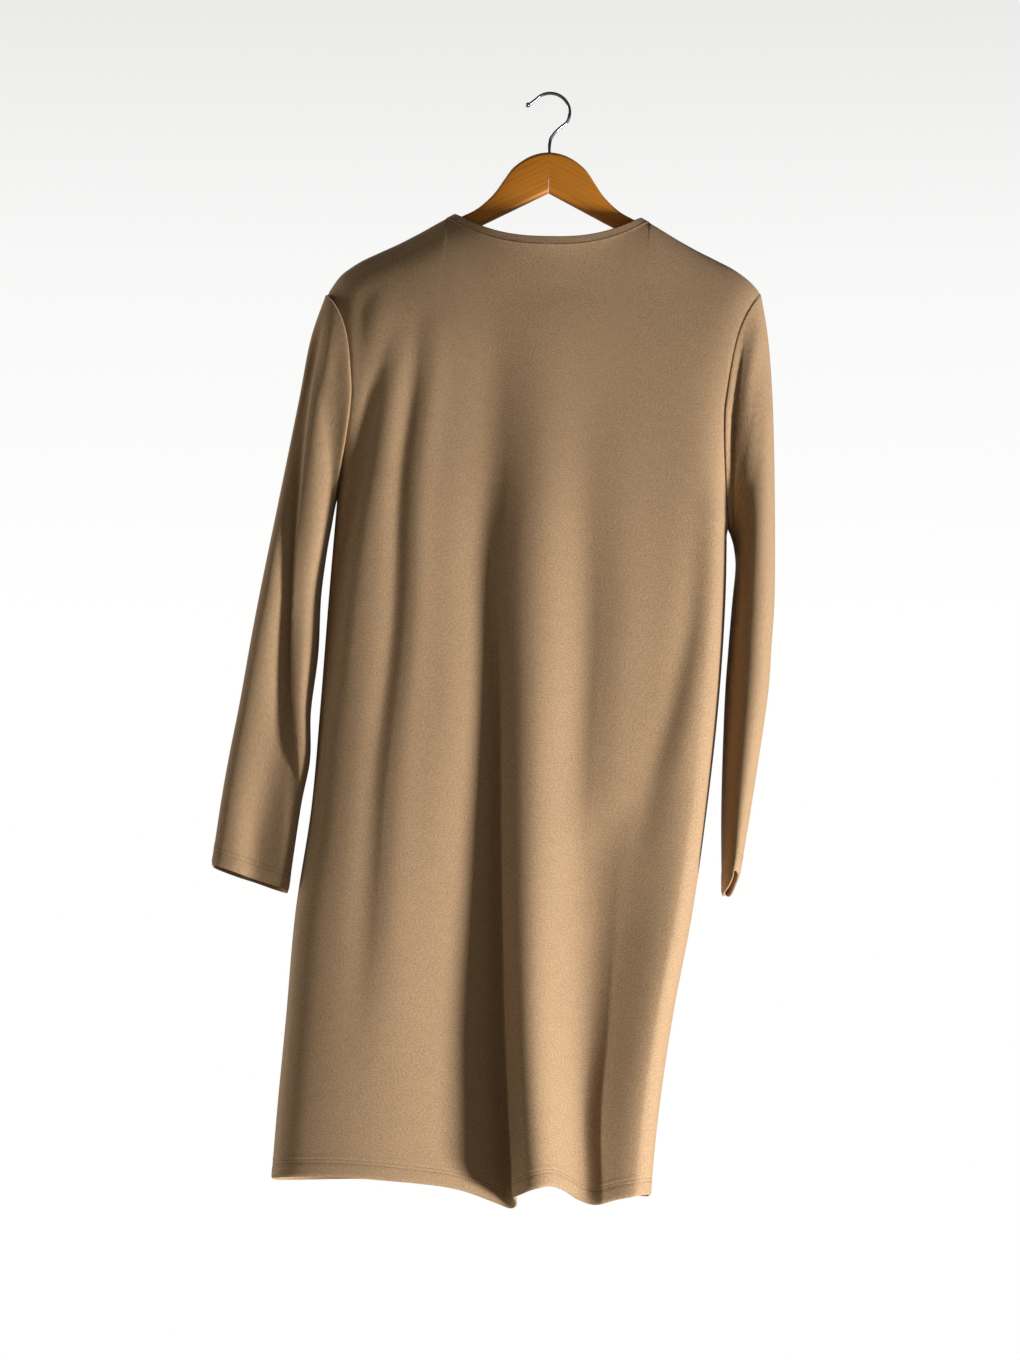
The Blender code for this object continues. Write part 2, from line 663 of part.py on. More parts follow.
def hanger_arm(name, side, tilt_frame, bore):
    """One wooden arm, lofted from the joint in the middle to its rounded end."""
    start = SEAM_GAP / 2
    straight = np.concatenate([[start], ARM[1:-1, 0]])
    rounding = HANGER_END - HANGER_END_ROUND * (1 - np.sin(np.radians(HANGER_END_TURNS)))
    distances = np.concatenate([straight, rounding])
    sections = []
    for distance in distances:
        top_drop = np.interp(distance, ARM[:, 0], ARM[:, 1])
        low_drop = np.interp(distance, ARM[:, 0], ARM[:, 2])
        past = max(0.0, distance - (HANGER_END - HANGER_END_ROUND)) / HANGER_END_ROUND
        keep = math.sqrt(max(0.0, 1 - past ** 2))
        middle = (top_drop + low_drop) / 2
        half_height = (low_drop - top_drop) / 2 * keep
        half_thickness = HANGER_THICKNESS / 2 * (HANGER_END_THINNED + (1 - HANGER_END_THINNED) * keep)
        ring = arm_section(middle - half_height, middle + half_height, half_thickness)
        x = np.full(len(ring), side * distance)
        sections.append(np.stack([x, ring[:, 0], -ring[:, 1]], axis=-1))
    points = np.concatenate(sections)
    around = len(sections[0])
    faces = []
    for row in range(len(sections) - 1):
        for column in range(around):
            following = (column + 1) % around
            faces.append((
                row * around + column,
                row * around + following,
                (row + 1) * around + following,
                (row + 1) * around + column,
            ))
    last = len(points) - around
    caps = [tuple(range(around)), tuple(range(last, last + around))]
    arm = mesh_object(name, points * MM, faces + caps, "wood")
    arm.parent = tilt_frame
    cut = arm.modifiers.new("stem bore", "BOOLEAN")
    cut.operation = "DIFFERENCE"
    cut.object = bore
    return arm


def stem_bore(tilt_frame):
    """Cutter for the hole that the hook's stem stands in."""
    length = STEM_DEPTH + STEM_CLEARANCE + BORE_OVERRUN
    low = ARM[0, 1] + STEM_DEPTH + STEM_CLEARANCE
    bpy.ops.mesh.primitive_cylinder_add(
        vertices=16,
        radius=(WIRE_RADIUS + STEM_CLEARANCE) * MM,
        depth=length * MM,
        location=(0.0, 0.0, (-low + length / 2) * MM),
    )
    bore = bpy.context.object
    bore.name = "stem_bore"
    bore.hide_render = True
    bore.display_type = "WIRE"
    for collection in list(bore.users_collection):
        collection.objects.unlink(bore)
    cutter_collection.objects.link(bore)
    bore.parent = tilt_frame
    return bore


def hook_route():
    """Middle line of the wire from the foot of its stem, round the crown, to its ball."""
    centre_drop = HOOK_RADIUS - WIRE_RADIUS
    stem = [(0.0, ARM[0, 1] + STEM_DEPTH), (0.0, 66.0), (0.0, 50.0)]
    bend = [(1.2, 43.5), (5.4, 37.2), (11.2, 31.6)]
    crown = []
    for degrees in range(-30, 141, 17):
        angle = math.radians(degrees)
        crown.append((HOOK_RADIUS * math.cos(angle), centre_drop - HOOK_RADIUS * math.sin(angle)))
    lip = [(-17.6, 7.6), (-20.6, 9.9), (-24.2, 11.4)]
    corners = np.array(stem + bend + crown + lip)
    steps = np.concatenate([[0.0], np.cumsum(np.linalg.norm(np.diff(corners, axis=0), axis=1))])
    places = np.linspace(0.0, steps[-1], HOOK_POINTS)
    ball_places = steps[-1] + HOOK_BALL_RADIUS * np.linspace(-HOOK_BALL_NECK, 0.0, HOOK_BALL_STEPS)
    places = np.concatenate([places[places < ball_places[0] - WIRE_RADIUS / 2], ball_places])
    x = curve(places, steps, corners[:, 0])
    drop = curve(places, steps, corners[:, 1])
    return np.stack([x, 0 * x, -drop], axis=-1), steps[-1] - places


def hanger_hook(tilt_frame):
    """Bent wire hook with a ball at its free end."""
    route, to_end = hook_route()
    data = bpy.data.curves.new("hanger_hook", "CURVE")
    data.dimensions = "3D"
    data.bevel_depth = WIRE_RADIUS * MM
    data.bevel_resolution = 2
    data.use_fill_caps = True
    spline = data.splines.new("POLY")
    spline.points.add(len(route) - 1)
    for point, position, distance in zip(spline.points, route, to_end):
        point.co = (*(position * MM), 1.0)
        off = distance - HOOK_BALL_RADIUS
        ball = math.sqrt(max(0.0, HOOK_BALL_RADIUS ** 2 - off ** 2)) / WIRE_RADIUS
        point.radius = max(ball, 1.0 if off > 0 else HOOK_TIP_SHARE)
    hook = add_object("hanger_hook", data, "chrome")
    hook.parent = tilt_frame
    return hook


def build():
    """Make the garment and its hanger."""
    for face, name in ((BACK, "back_panel"), (FRONT, "front_panel")):
        grid, normals = panel_grid(face)
        wall(name, grid, normals, WALL, False, "cloth")
    for side, name in ((LEFT, "sleeve_left"), (RIGHT, "sleeve_right")):
        grid, normals = sleeve_grid(side)
        wall(name, grid, normals, WALL, True, "cloth")
    grid, normals = band_grid()
    wall("neck_band", grid, normals, WALL + 2 * BAND_RISE, True, "cloth")
    tilt_frame = bpy.data.objects.new("hanger_tilt", None)
    tilt_frame.rotation_euler = (0.0, HANGER_TILT, 0.0)
    part_collection.objects.link(tilt_frame)
    bore = stem_bore(tilt_frame)
    hanger_arm("hanger_arm_left", LEFT, tilt_frame, bore)
    hanger_arm("hanger_arm_right", RIGHT, tilt_frame, bore)
    hanger_hook(tilt_frame)


for old in list(bpy.data.objects):
    bpy.data.objects.remove(old, do_unlink=True)
part_collection = bpy.data.collections.new("tunic_top")
cutter_collection = bpy.data.collections.new("cutters")
bpy.context.scene.collection.children.link(part_collection)
bpy.context.scene.collection.children.link(cutter_collection)
build()
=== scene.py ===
"""Long-sleeved knitted tunic top on a wooden clothes hanger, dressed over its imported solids.

Each cloth piece is a thin shell with the form of its solid, worked out from the same named sizes
on a finer grid, with its creases, turned hems and rows of stitches. The origin is the inside of
the hook's crown, +Z is up, the garment's back faces -Y and its left sleeve is at -X. Sizes are in
millimetres and heights are drops below the origin, until a mesh is made in metres.
"""

import logging
import math
from dataclasses import dataclass, field
from enum import Enum

import bpy
import numpy as np
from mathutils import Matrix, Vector


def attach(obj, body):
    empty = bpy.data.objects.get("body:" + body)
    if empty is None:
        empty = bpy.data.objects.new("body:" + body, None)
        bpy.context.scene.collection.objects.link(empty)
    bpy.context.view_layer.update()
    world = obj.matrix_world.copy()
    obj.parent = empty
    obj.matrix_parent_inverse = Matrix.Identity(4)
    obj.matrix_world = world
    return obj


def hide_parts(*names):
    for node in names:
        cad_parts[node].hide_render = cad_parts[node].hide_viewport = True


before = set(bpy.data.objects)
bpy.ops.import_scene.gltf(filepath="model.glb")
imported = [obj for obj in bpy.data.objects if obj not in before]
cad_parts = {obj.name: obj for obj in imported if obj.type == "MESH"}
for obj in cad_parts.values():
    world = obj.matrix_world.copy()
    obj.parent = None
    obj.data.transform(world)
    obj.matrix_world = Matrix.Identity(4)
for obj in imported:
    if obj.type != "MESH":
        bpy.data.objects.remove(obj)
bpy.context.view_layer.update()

Array = np.ndarray
LOG = logging.getLogger("tunic_top")
MM = 0.001
ROOT = "root"
SHARP_ANGLE = math.radians(50)


class Side(Enum):
    """Which side of the garment, seen from its back."""

    LEFT = -1
    RIGHT = 1


class Face(Enum):
    """Which of the two body panels."""

    BACK = -1
    FRONT = 1


def smooth(share: Array) -> Array:
    """Ease from 0 to 1 with level ends: three squares less two cubes of the clipped share.

    Args:
        share: Any numbers; below 0 counts as 0 and above 1 as 1.

    Returns:
        The eased shares.
    """
    share = np.clip(share, 0.0, 1.0)
    return share * share * (3.0 - 2.0 * share)


def curve(at: Array, xs: Array, ys: Array) -> Array:
    """Read a smooth curve, a cubic between each two points with slopes from their neighbours.

    Args:
        at: Places to read, held to the first and last of xs.
        xs: Rising places of the points.
        ys: Values at the points.

    Returns:
        Values at the places.
    """
    xs = np.asarray(xs, float)
    ys = np.asarray(ys, float)
    slopes = np.gradient(ys, xs)
    at = np.clip(at, xs[0], xs[-1])
    low = np.clip(np.searchsorted(xs, at) - 1, 0, len(xs) - 2)
    span = xs[low + 1] - xs[low]
    t = (at - xs[low]) / span
    return (
        (1 + 2 * t) * (1 - t) ** 2 * ys[low]
        + t * (1 - t) ** 2 * span * slopes[low]
        + t * t * (3 - 2 * t) * ys[low + 1]
        + t * t * (t - 1) * span * slopes[low + 1]
    )


def unit(vectors: Array) -> Array:
    """Vectors of length one, each divided by its own length."""
    return vectors / np.linalg.norm(vectors, axis=-1, keepdims=True)


def bump(across: Array) -> Array:
    """Bell shape: e to the minus square of the distance across."""
    return np.exp(-across * across)


def lengths_along(points: Array) -> Array:
    """Running length along the first axis of an array of points, starting from 0."""
    steps = np.linalg.norm(np.diff(points, axis=0), axis=-1)
    return np.concatenate([np.zeros_like(steps[:1]), np.cumsum(steps, axis=0)])


def evened(grid: Array, times: int) -> Array:
    """Grid whose y is drawn halfway to the line between its neighbours, in rows and columns.

    Of two neighbours, the nearer one weighs more. The edges of the grid stay.
    """
    grid = grid.copy()
    y = grid[..., 1]
    flat = grid[..., ::2]
    across = np.linalg.norm(np.diff(flat, axis=1), axis=-1)[1:-1]
    down = np.linalg.norm(np.diff(flat, axis=0), axis=-1)[:, 1:-1]
    right = across[:, :-1] / (across[:, :-1] + across[:, 1:])
    below = down[:-1] / (down[:-1] + down[1:])
    for _ in range(times):
        y[1:-1, 1:-1] += (y[1:-1, :-2] * (1 - right) + y[1:-1, 2:] * right - y[1:-1, 1:-1]) / 2
        y[1:-1, 1:-1] += (y[:-2, 1:-1] * (1 - below) + y[2:, 1:-1] * below - y[1:-1, 1:-1]) / 2
    return grid


@dataclass(frozen=True)
class Fold:
    """Soft fold: a trough left of a line, and a crest right of it.

    Each row of its table is a drop and, there, the line's x, the widths of the trough and of the
    crest, how far the trough is drawn under the crest, the trough's depth and the crest's height.
    """

    rows: tuple[tuple[float, ...], ...]

    def shift(self, points: Array, out: float, share: Array) -> Array:
        """Moves of points by the fold.

        The swing is the distance across in widths, times e to half of one less its square, so it
        is -1 in the trough and 1 on the crest.

        Args:
            points: Points of the cloth, any shape by three.
            out: -1 where the cloth's outer side faces -Y, 1 where it faces +Y.
            share: Share of the fold felt at each point.

        Returns:
            The moves, as an array like the points.
        """
        table = np.array(self.rows)
        drop = -points[..., 2]
        x, trough, crest, lap, depth, height = (curve(drop, table[:, 0], table[:, i]) for i in range(1, 7))
        across = points[..., 0] - x
        left = across < 0
        across = across / np.where(left, trough, crest)
        swing = across * np.exp((1 - across ** 2) / 2) * share
        sideways = -lap * swing * left
        return np.stack([sideways, out * swing * np.where(left, depth, height), 0 * swing], axis=-1)


@dataclass(frozen=True)
class Knit:
    """Fine double knit, plain tan."""

    name: str
    colour: tuple[float, float, float]
    dark: float = 0.575
    light: float = 1.355
    wale: float = 0.00105
    course: float = 0.00085
    stitch_height: float = 0.00010
    slub_height: float = 0.00034
    roughness: float = 0.82
    sheen: float = 0.22
    sheen_roughness: float = 0.45

    def material(self) -> bpy.types.Material:
        """Material whose stitches follow the piece's map, in metres along wales and courses."""
        nodes = Nodes(self.name)
        shader = nodes.shader
        cloth_map = nodes.add("ShaderNodeUVMap", uv_map="cloth")
        split = nodes.add("ShaderNodeSeparateXYZ")
        nodes.link(cloth_map, "UV", split, "Vector")
        across = nodes.math("DIVIDE", (split, "X"), self.wale)
        half = nodes.math("PINGPONG", (across, 0), 0.5)
        lean = nodes.math("MULTIPLY", (half, 0), 1.5)
        down = nodes.math("DIVIDE", (split, "Y"), self.course)
        phase = nodes.math("ADD", (down, 0), (lean, 0))
        turn = nodes.math("MULTIPLY", (phase, 0), 2 * math.pi)
        loops = nodes.math("SINE", (turn, 0))
        column = nodes.math("MULTIPLY", (half, 0), 2 * math.pi)
        groove = nodes.math("SINE", (column, 0))
        stitches = nodes.math("MULTIPLY_ADD", (loops, 0), 0.5, (groove, 0))
        slub = nodes.noise(cloth_map, (480.0, 900.0, 1.0), detail=3.0, rough=0.75)
        haze = nodes.noise(cloth_map, (55.0, 120.0, 1.0), detail=3.0, rough=0.55)
        shades = nodes.add("ShaderNodeValToRGB")
        ramp = shades.color_ramp
        ramp.elements[0].position = 0.30
        ramp.elements[0].color = (*(c * self.dark for c in self.colour), 1.0)
        ramp.elements[1].position = 0.70
        ramp.elements[1].color = (*(c * self.light for c in self.colour), 1.0)
        mixed = nodes.math("MULTIPLY_ADD", (haze, 0), 0.10, (slub, 0))
        centred = nodes.math("SUBTRACT", (mixed, 0), 0.05)
        nodes.link(centred, 0, shades, "Fac")
        nodes.link(shades, "Color", shader, "Base Color")
        first = nodes.bump((slub, 0), self.slub_height, 0.55, None)
        second = nodes.bump((stitches, 0), self.stitch_height, 0.5, first)
        nodes.link(second, "Normal", shader, "Normal")
        nodes.set(
            Roughness=self.roughness,
            **{
                "Sheen Weight": self.sheen,
                "Sheen Roughness": self.sheen_roughness,
                "Sheen Tint": (1.0, 0.93, 0.84, 1.0),
                "Specular IOR Level": 0.25,
            },
        )
        return nodes.finished


@dataclass(frozen=True)
class Thread:
    """Matt sewing thread in a plain shade."""

    name: str
    colour: tuple[float, float, float]

    def material(self) -> bpy.types.Material:
        """Material with a fine twist across the thread."""
        nodes = Nodes(self.name)
        place = nodes.add("ShaderNodeTexCoord")
        twist = nodes.noise(place, (2600.0, 2600.0, 2600.0), detail=2.0, rough=0.5, output="Object")
        shades = nodes.add("ShaderNodeValToRGB")
        shades.color_ramp.elements[0].color = (*(c * 0.72 for c in self.colour), 1.0)
        shades.color_ramp.elements[1].color = (*(c * 1.12 for c in self.colour), 1.0)
        nodes.link(twist, 0, shades, "Fac")
        nodes.link(shades, "Color", nodes.shader, "Base Color")
        nodes.link(nodes.bump((twist, 0), 0.00008, 0.5, None), "Normal", nodes.shader, "Normal")
        nodes.set(Roughness=0.8)
        return nodes.finished


@dataclass(frozen=True)
class Varnish:
    """Varnished wood with long grain."""

    name: str
    pale: tuple[float, float, float]
    deep: tuple[float, float, float]
    rings: float = 210.0
    roughness: float = 0.36
    coat: float = 0.18

    def material(self) -> bpy.types.Material:
        """Material whose grain runs along the piece's plank attribute: length, height, depth."""
        nodes = Nodes(self.name)
        plank = nodes.add("ShaderNodeAttribute", attribute_name="plank", attribute_type="GEOMETRY")
        wander = nodes.noise(plank, (9.0, 60.0, 60.0), detail=3.0, rough=0.55, output="Vector")
        split = nodes.add("ShaderNodeSeparateXYZ")
        nodes.link(plank, "Vector", split, "Vector")
        lines = nodes.math("MULTIPLY", (split, "Y"), self.rings)
        waved = nodes.math("MULTIPLY_ADD", (wander, 0), 3.4, (lines, 0))
        figure = nodes.math("PINGPONG", (waved, 0), 0.5)
        early = nodes.math("MULTIPLY", (figure, 0), 2.0)
        sharp = nodes.math("POWER", (early, 0), 2.4)
        fibre = nodes.noise(plank, (60.0, 1900.0, 1900.0), detail=5.0, rough=0.65, output="Vector")
        mottle = nodes.noise(plank, (16.0, 110.0, 110.0), detail=2.0, rough=0.5, output="Vector")
        first = nodes.math("MULTIPLY", (sharp, 0), 0.24)
        second = nodes.math("MULTIPLY_ADD", (fibre, 0), 0.45, (first, 0))
        third = nodes.math("MULTIPLY_ADD", (mottle, 0), 0.30, (second, 0))
        shades = nodes.add("ShaderNodeValToRGB")
        ramp = shades.color_ramp
        ramp.elements[0].position = 0.30
        ramp.elements[0].color = (*self.pale, 1.0)
        ramp.elements[1].position = 0.92
        ramp.elements[1].color = (*self.deep, 1.0)
        nodes.link(third, 0, shades, "Fac")
        nodes.link(shades, "Color", nodes.shader, "Base Color")
        rough = nodes.math("MULTIPLY_ADD", (fibre, 0), 0.16, self.roughness - 0.08)
        nodes.link(rough, 0, nodes.shader, "Roughness")
        nodes.link(nodes.bump((fibre, 0), 0.00006, 0.35, None), "Normal", nodes.shader, "Normal")
        nodes.set(**{"Coat Weight": self.coat, "Coat Roughness": 0.22})
        return nodes.finished


@dataclass(frozen=True)
class Chrome:
    """Bright plated steel with fine drawing marks."""

    name: str
    colour: tuple[float, float, float] = (0.62, 0.63, 0.67)

    def material(self) -> bpy.types.Material:
        """Material with a slightly uneven polish."""
        nodes = Nodes(self.name)
        place = nodes.add("ShaderNodeTexCoord")
        marks = nodes.noise(place, (900.0, 900.0, 900.0), detail=3.0, rough=0.6, output="Object")
        rough = nodes.math("MULTIPLY_ADD", (marks, 0), 0.14, 0.07)
        nodes.link(rough, 0, nodes.shader, "Roughness")
        nodes.link(nodes.bump((marks, 0), 0.00002, 0.3, None), "Normal", nodes.shader, "Normal")
        nodes.set(Metallic=1.0, **{"Base Color": (*self.colour, 1.0)})
        return nodes.finished


@dataclass(frozen=True)
class PaleFloor:
    """Plain pale studio floor."""

    name: str
    colour: tuple[float, float, float] = (0.80, 0.80, 0.79)

    def material(self) -> bpy.types.Material:
        """Material with faint unevenness."""
        nodes = Nodes(self.name)
        place = nodes.add("ShaderNodeTexCoord")
        cloud = nodes.noise(place, (2.0, 2.0, 2.0), detail=3.0, rough=0.5, output="Object")
        shades = nodes.add("ShaderNodeValToRGB")
        shades.color_ramp.elements[0].color = (*(c * 0.97 for c in self.colour), 1.0)
        shades.color_ramp.elements[1].color = (*self.colour, 1.0)
        nodes.link(cloud, 0, shades, "Fac")
        nodes.link(shades, "Color", nodes.shader, "Base Color")
        nodes.set(Roughness=0.7)
        return nodes.finished


class Nodes:
    """Builder of one material's nodes around a Principled shader."""

    def __init__(self, name: str) -> None:
        """Start a material of this name."""
        self.finished = bpy.data.materials.new(name)
        self.finished.use_nodes = True
        self.tree = self.finished.node_tree
        self.shader = self.tree.nodes["Principled BSDF"]

    def add(self, kind: str, **values: object) -> bpy.types.Node:
        """Add a node.

        Args:
            kind: The node's type name.
            values: Its own properties.

        Returns:
            The node.
        """
        node = self.tree.nodes.new(kind)
        for key, value in values.items():
            setattr(node, key, value)
        return node

    def link(self, source: bpy.types.Node, output: str | int, target: bpy.types.Node, socket: str | int) -> None:
        """Join an output of one node to an input of another."""
        self.tree.links.new(source.outputs[output], target.inputs[socket])

    def math(self, operation: str, *inputs: object) -> bpy.types.Node:
        """Add a Math node.

        Args:
            operation: What it works out.
            inputs: Numbers, or pairs of a node and one of its outputs.

        Returns:
            The node.
        """
        node = self.add("ShaderNodeMath", operation=operation)
        for slot, value in enumerate(inputs):
            if isinstance(value, tuple):
                self.link(value[0], value[1], node, slot)
            else:
                node.inputs[slot].default_value = value
        return node

    def noise(
        self,
        source: bpy.types.Node,
        scale: tuple[float, float, float],
        detail: float,
        rough: float,
        output: str = "UV",
    ) -> bpy.types.Node:
        """Add noise on a source's coordinates, stretched by a scale for each axis.

        Args:
            source: Node that gives the coordinates.
            scale: Noise cells to a metre along each axis.
            detail: Octaves of the noise.
            rough: Strength of each octave beside the last.
            output: The source's output to read.

        Returns:
            The noise node, whose first output is its value.
        """
        mapping = self.add("ShaderNodeMapping")
        mapping.inputs["Scale"].default_value = scale
        self.link(source, output, mapping, "Vector")
        node = self.add("ShaderNodeTexNoise")
        node.inputs["Scale"].default_value = 1.0
        node.inputs["Detail"].default_value = detail
        node.inputs["Roughness"].default_value = rough
        self.link(mapping, "Vector", node, "Vector")
        return node

    def bump(
        self,
        height: tuple[bpy.types.Node, str | int],
        distance: float,
        strength: float,
        below: bpy.types.Node | None,
    ) -> bpy.types.Node:
        """Add a Bump node.

        Args:
            height: Node and output that give the height.
            distance: Height in metres of a step of 1.
            strength: Share of the bump that shows.
            below: Bump that this one lies on.

        Returns:
            The node.
        """
        node = self.add("ShaderNodeBump")
        node.inputs["Distance"].default_value = distance
        node.inputs["Strength"].default_value = strength
        self.link(height[0], height[1], node, "Height")
        if below is not None:
            self.link(below, "Normal", node, "Normal")
        return node

    def set(self, **values: object) -> None:
        """Set the shader's own sockets."""
        for key, value in values.items():
            self.shader.inputs[key].default_value = value


@dataclass
class Finishes:
    """The materials of the whole part, each made once."""

    knit: bpy.types.Material
    thread: bpy.types.Material
    wood: bpy.types.Material
    glue: bpy.types.Material
    chrome: bpy.types.Material

    @classmethod
    def mixed(cls) -> "Finishes":
        """Make all of them."""
        return cls(
            knit=Knit("tan_knit", (0.435, 0.270, 0.136)).material(),
            # The thread's colour is far darker than the tan knit: painted shade for the shadow round the stitches.
            thread=Thread("thread_dark_as_painted_shade", (0.13, 0.078, 0.040)).material(),
            wood=Varnish("varnished_wood", (0.60, 0.215, 0.019), (0.38, 0.110, 0.007)).material(),
            glue=Thread("pale_joint", (0.64, 0.30, 0.06)).material(),
            chrome=Chrome("chrome").material(),
        )


@dataclass(frozen=True)
class Yoke:
    """The shoulder line and neck that the hanger carries, in the hanger's own tilted frame."""

    tilt: float = math.radians(1.2)
    distance: tuple[float, ...] = (90.5, 105.0, 125.0, 145.0, 165.0, 183.0, 192.0, 200.0)
    drop: tuple[float, ...] = (120.8, 129.0, 141.0, 152.0, 161.8, 171.2, 177.5, 184.3)
    ridge_distance: tuple[float, ...] = (-65.0, -35.0, 0.0, 35.0, 65.0)
    ridge_drop: tuple[float, ...] = (112.0, 103.5, 99.0, 103.5, 112.0)
    left_tip: tuple[float, float] = (213.0, 203.5)
    right_tip: tuple[float, float] = (208.0, 193.5)
    edge_half_width: float = 90.5
    line_half_width: float = 98.5
    edge_drop: tuple[float, float] = (26.0, 75.0)
    line_drop: tuple[float, float] = (30.8, 80.0)
    edge_depth: tuple[float, float] = (28.0, 31.0)
    line_depth: tuple[float, float] = (30.0, 34.0)
    shape: float = 2.5

    def tip(self, side: Side) -> tuple[float, float]:
        """Distance from the middle and drop of a shoulder's tip."""
        return self.left_tip if side is Side.LEFT else self.right_tip

    def tilted(self, x: Array, drop: Array) -> tuple[Array, Array]:
        """Turn x and drop from the hanger's frame by its tilt."""
        cosine = math.cos(self.tilt)
        sine = math.sin(self.tilt)
        return x * cosine - drop * sine, drop * cosine + x * sine

    def shoulder(self, side: Side, distances: Array) -> tuple[Array, Array]:
        """x and drop of the shoulder seam, a smooth curve through its points.

        Args:
            side: Which shoulder.
            distances: Distances from the hanger's middle.

        Returns:
            x and drop at each distance.
        """
        tip = self.tip(side)
        drops = curve(distances, (*self.distance, tip[0]), (*self.drop, tip[1]))
        return self.tilted(side.value * distances, drops)

    def neck(self, face: Face, shares: Array, free_edge: bool) -> Array:
        """Points on half of the neck ring.

        The width runs with the share, the drop is full in the middle and falls off with the share
        to a power, and the depth is the height of a half circle over the share.

        Args:
            face: Back or front half.
            shares: Places across the neck from -1 to 1.
            free_edge: The free edge if true, and else the line that the panel starts from.

        Returns:
            Points, one for each share.
        """
        place = 0 if face is Face.BACK else 1
        if free_edge:
            half_width, drop, depth = self.edge_half_width, self.edge_drop[place], self.edge_depth[place]
        else:
            half_width, drop, depth = self.line_half_width, self.line_drop[place], self.line_depth[place]
        side_drop = curve(half_width, self.distance, self.drop)
        drops = side_drop + drop * (1 - np.abs(shares) ** self.shape)
        x, drops = self.tilted(half_width * shares, drops)
        return np.stack([x, face.value * depth * np.sqrt(1 - shares ** 2), -drops], axis=-1)

    def neck_frame(self, face: Face, shares: Array) -> tuple[Array, Array, Array]:
        """Line that a panel starts from, the outward direction there and the way off the neck."""
        free = self.neck(face, shares, True)
        line = self.neck(face, shares, False)
        away = unit(line - free)
        along = np.gradient(line, axis=0)
        along[0] = (0.0, face.value, 0.0)
        along[-1] = (0.0, -face.value, 0.0)
        return line, unit(np.cross(along, away)) * face.value, away


@dataclass(frozen=True)
class Armhole:
    """Seam between the body and a sleeve, from the shoulder tip down to the underarm."""

    yoke: Yoke
    side: Side
    low: tuple[float, float]
    bow: float = 20.0
    bow_upper: float = 4.0
    bow_lower: float = 1.3
    half_depth: float = 34.0
    shoulder_lean: float = 0.6
    underarm_lean: float = 0.12

    @property
    def tip(self) -> tuple[float, float]:
        """x and drop of the shoulder tip."""
        x, drop = self.yoke.shoulder(self.side, np.array(self.yoke.tip(self.side)[0]))
        return float(x), float(drop)

    def points(self, angles: Array) -> Array:
        """Points at angles round the seam, 0 at the tip, pi at the underarm, the back first.

        An upright ellipse whose ends are the tip and the underarm, bowed in towards the body by
        the bow times one less a power of the cosine.
        """
        cosine = np.cos(angles)
        power = np.where(cosine > 0, self.bow_upper, self.bow_lower)
        bow = self.bow * (1 - np.abs(cosine) ** power)
        tip, low = self.tip, self.low
        return np.stack([
            (tip[0] + low[0]) / 2 + (tip[0] - low[0]) / 2 * cosine - self.side.value * bow,
            -self.half_depth * np.sin(angles),
            -(tip[1] + low[1]) / 2 - (tip[1] - low[1]) / 2 * cosine,
        ], axis=-1)

    def outward(self, angles: Array) -> Array:
        """Outward directions of the seam: up at the tip, out at the sides, down at the underarm."""
        cosine = np.cos(angles)
        lean = self.shoulder_lean * cosine * (1 + cosine) + self.underarm_lean * (1 - cosine)
        return unit(np.stack([self.side.value * lean / 2, -np.sin(angles), cosine], axis=-1))


@dataclass
class Cut:
    """How far the finer grids go, shared by pieces that meet at a seam."""

    armhole_rows: int = 12
    armhole_crowd: float = 1.35
    armhole_steps: int = 72
    body_rows: int = 18
    body_steps: int = 120
    shoulder_columns: int = 7
    neck_columns: int = 16
    column_steps: int = 7

    def armhole_places(self) -> Array:
        """Row numbers down an armhole, from 0 to the number of its rows."""
        return np.linspace(0.0, self.armhole_rows, self.armhole_steps + 1)

    def armhole_angles(self) -> Array:
        """Angles of those rows, crowded towards the shoulder tip by a power."""
        return math.pi * (self.armhole_places() / self.armhole_rows) ** self.armhole_crowd

    def columns(self) -> Array:
        """Column numbers across a panel, from the left tip to the right tip."""
        total = 2 * self.shoulder_columns + self.neck_columns
        return np.linspace(0.0, total, total * self.column_steps + 1)


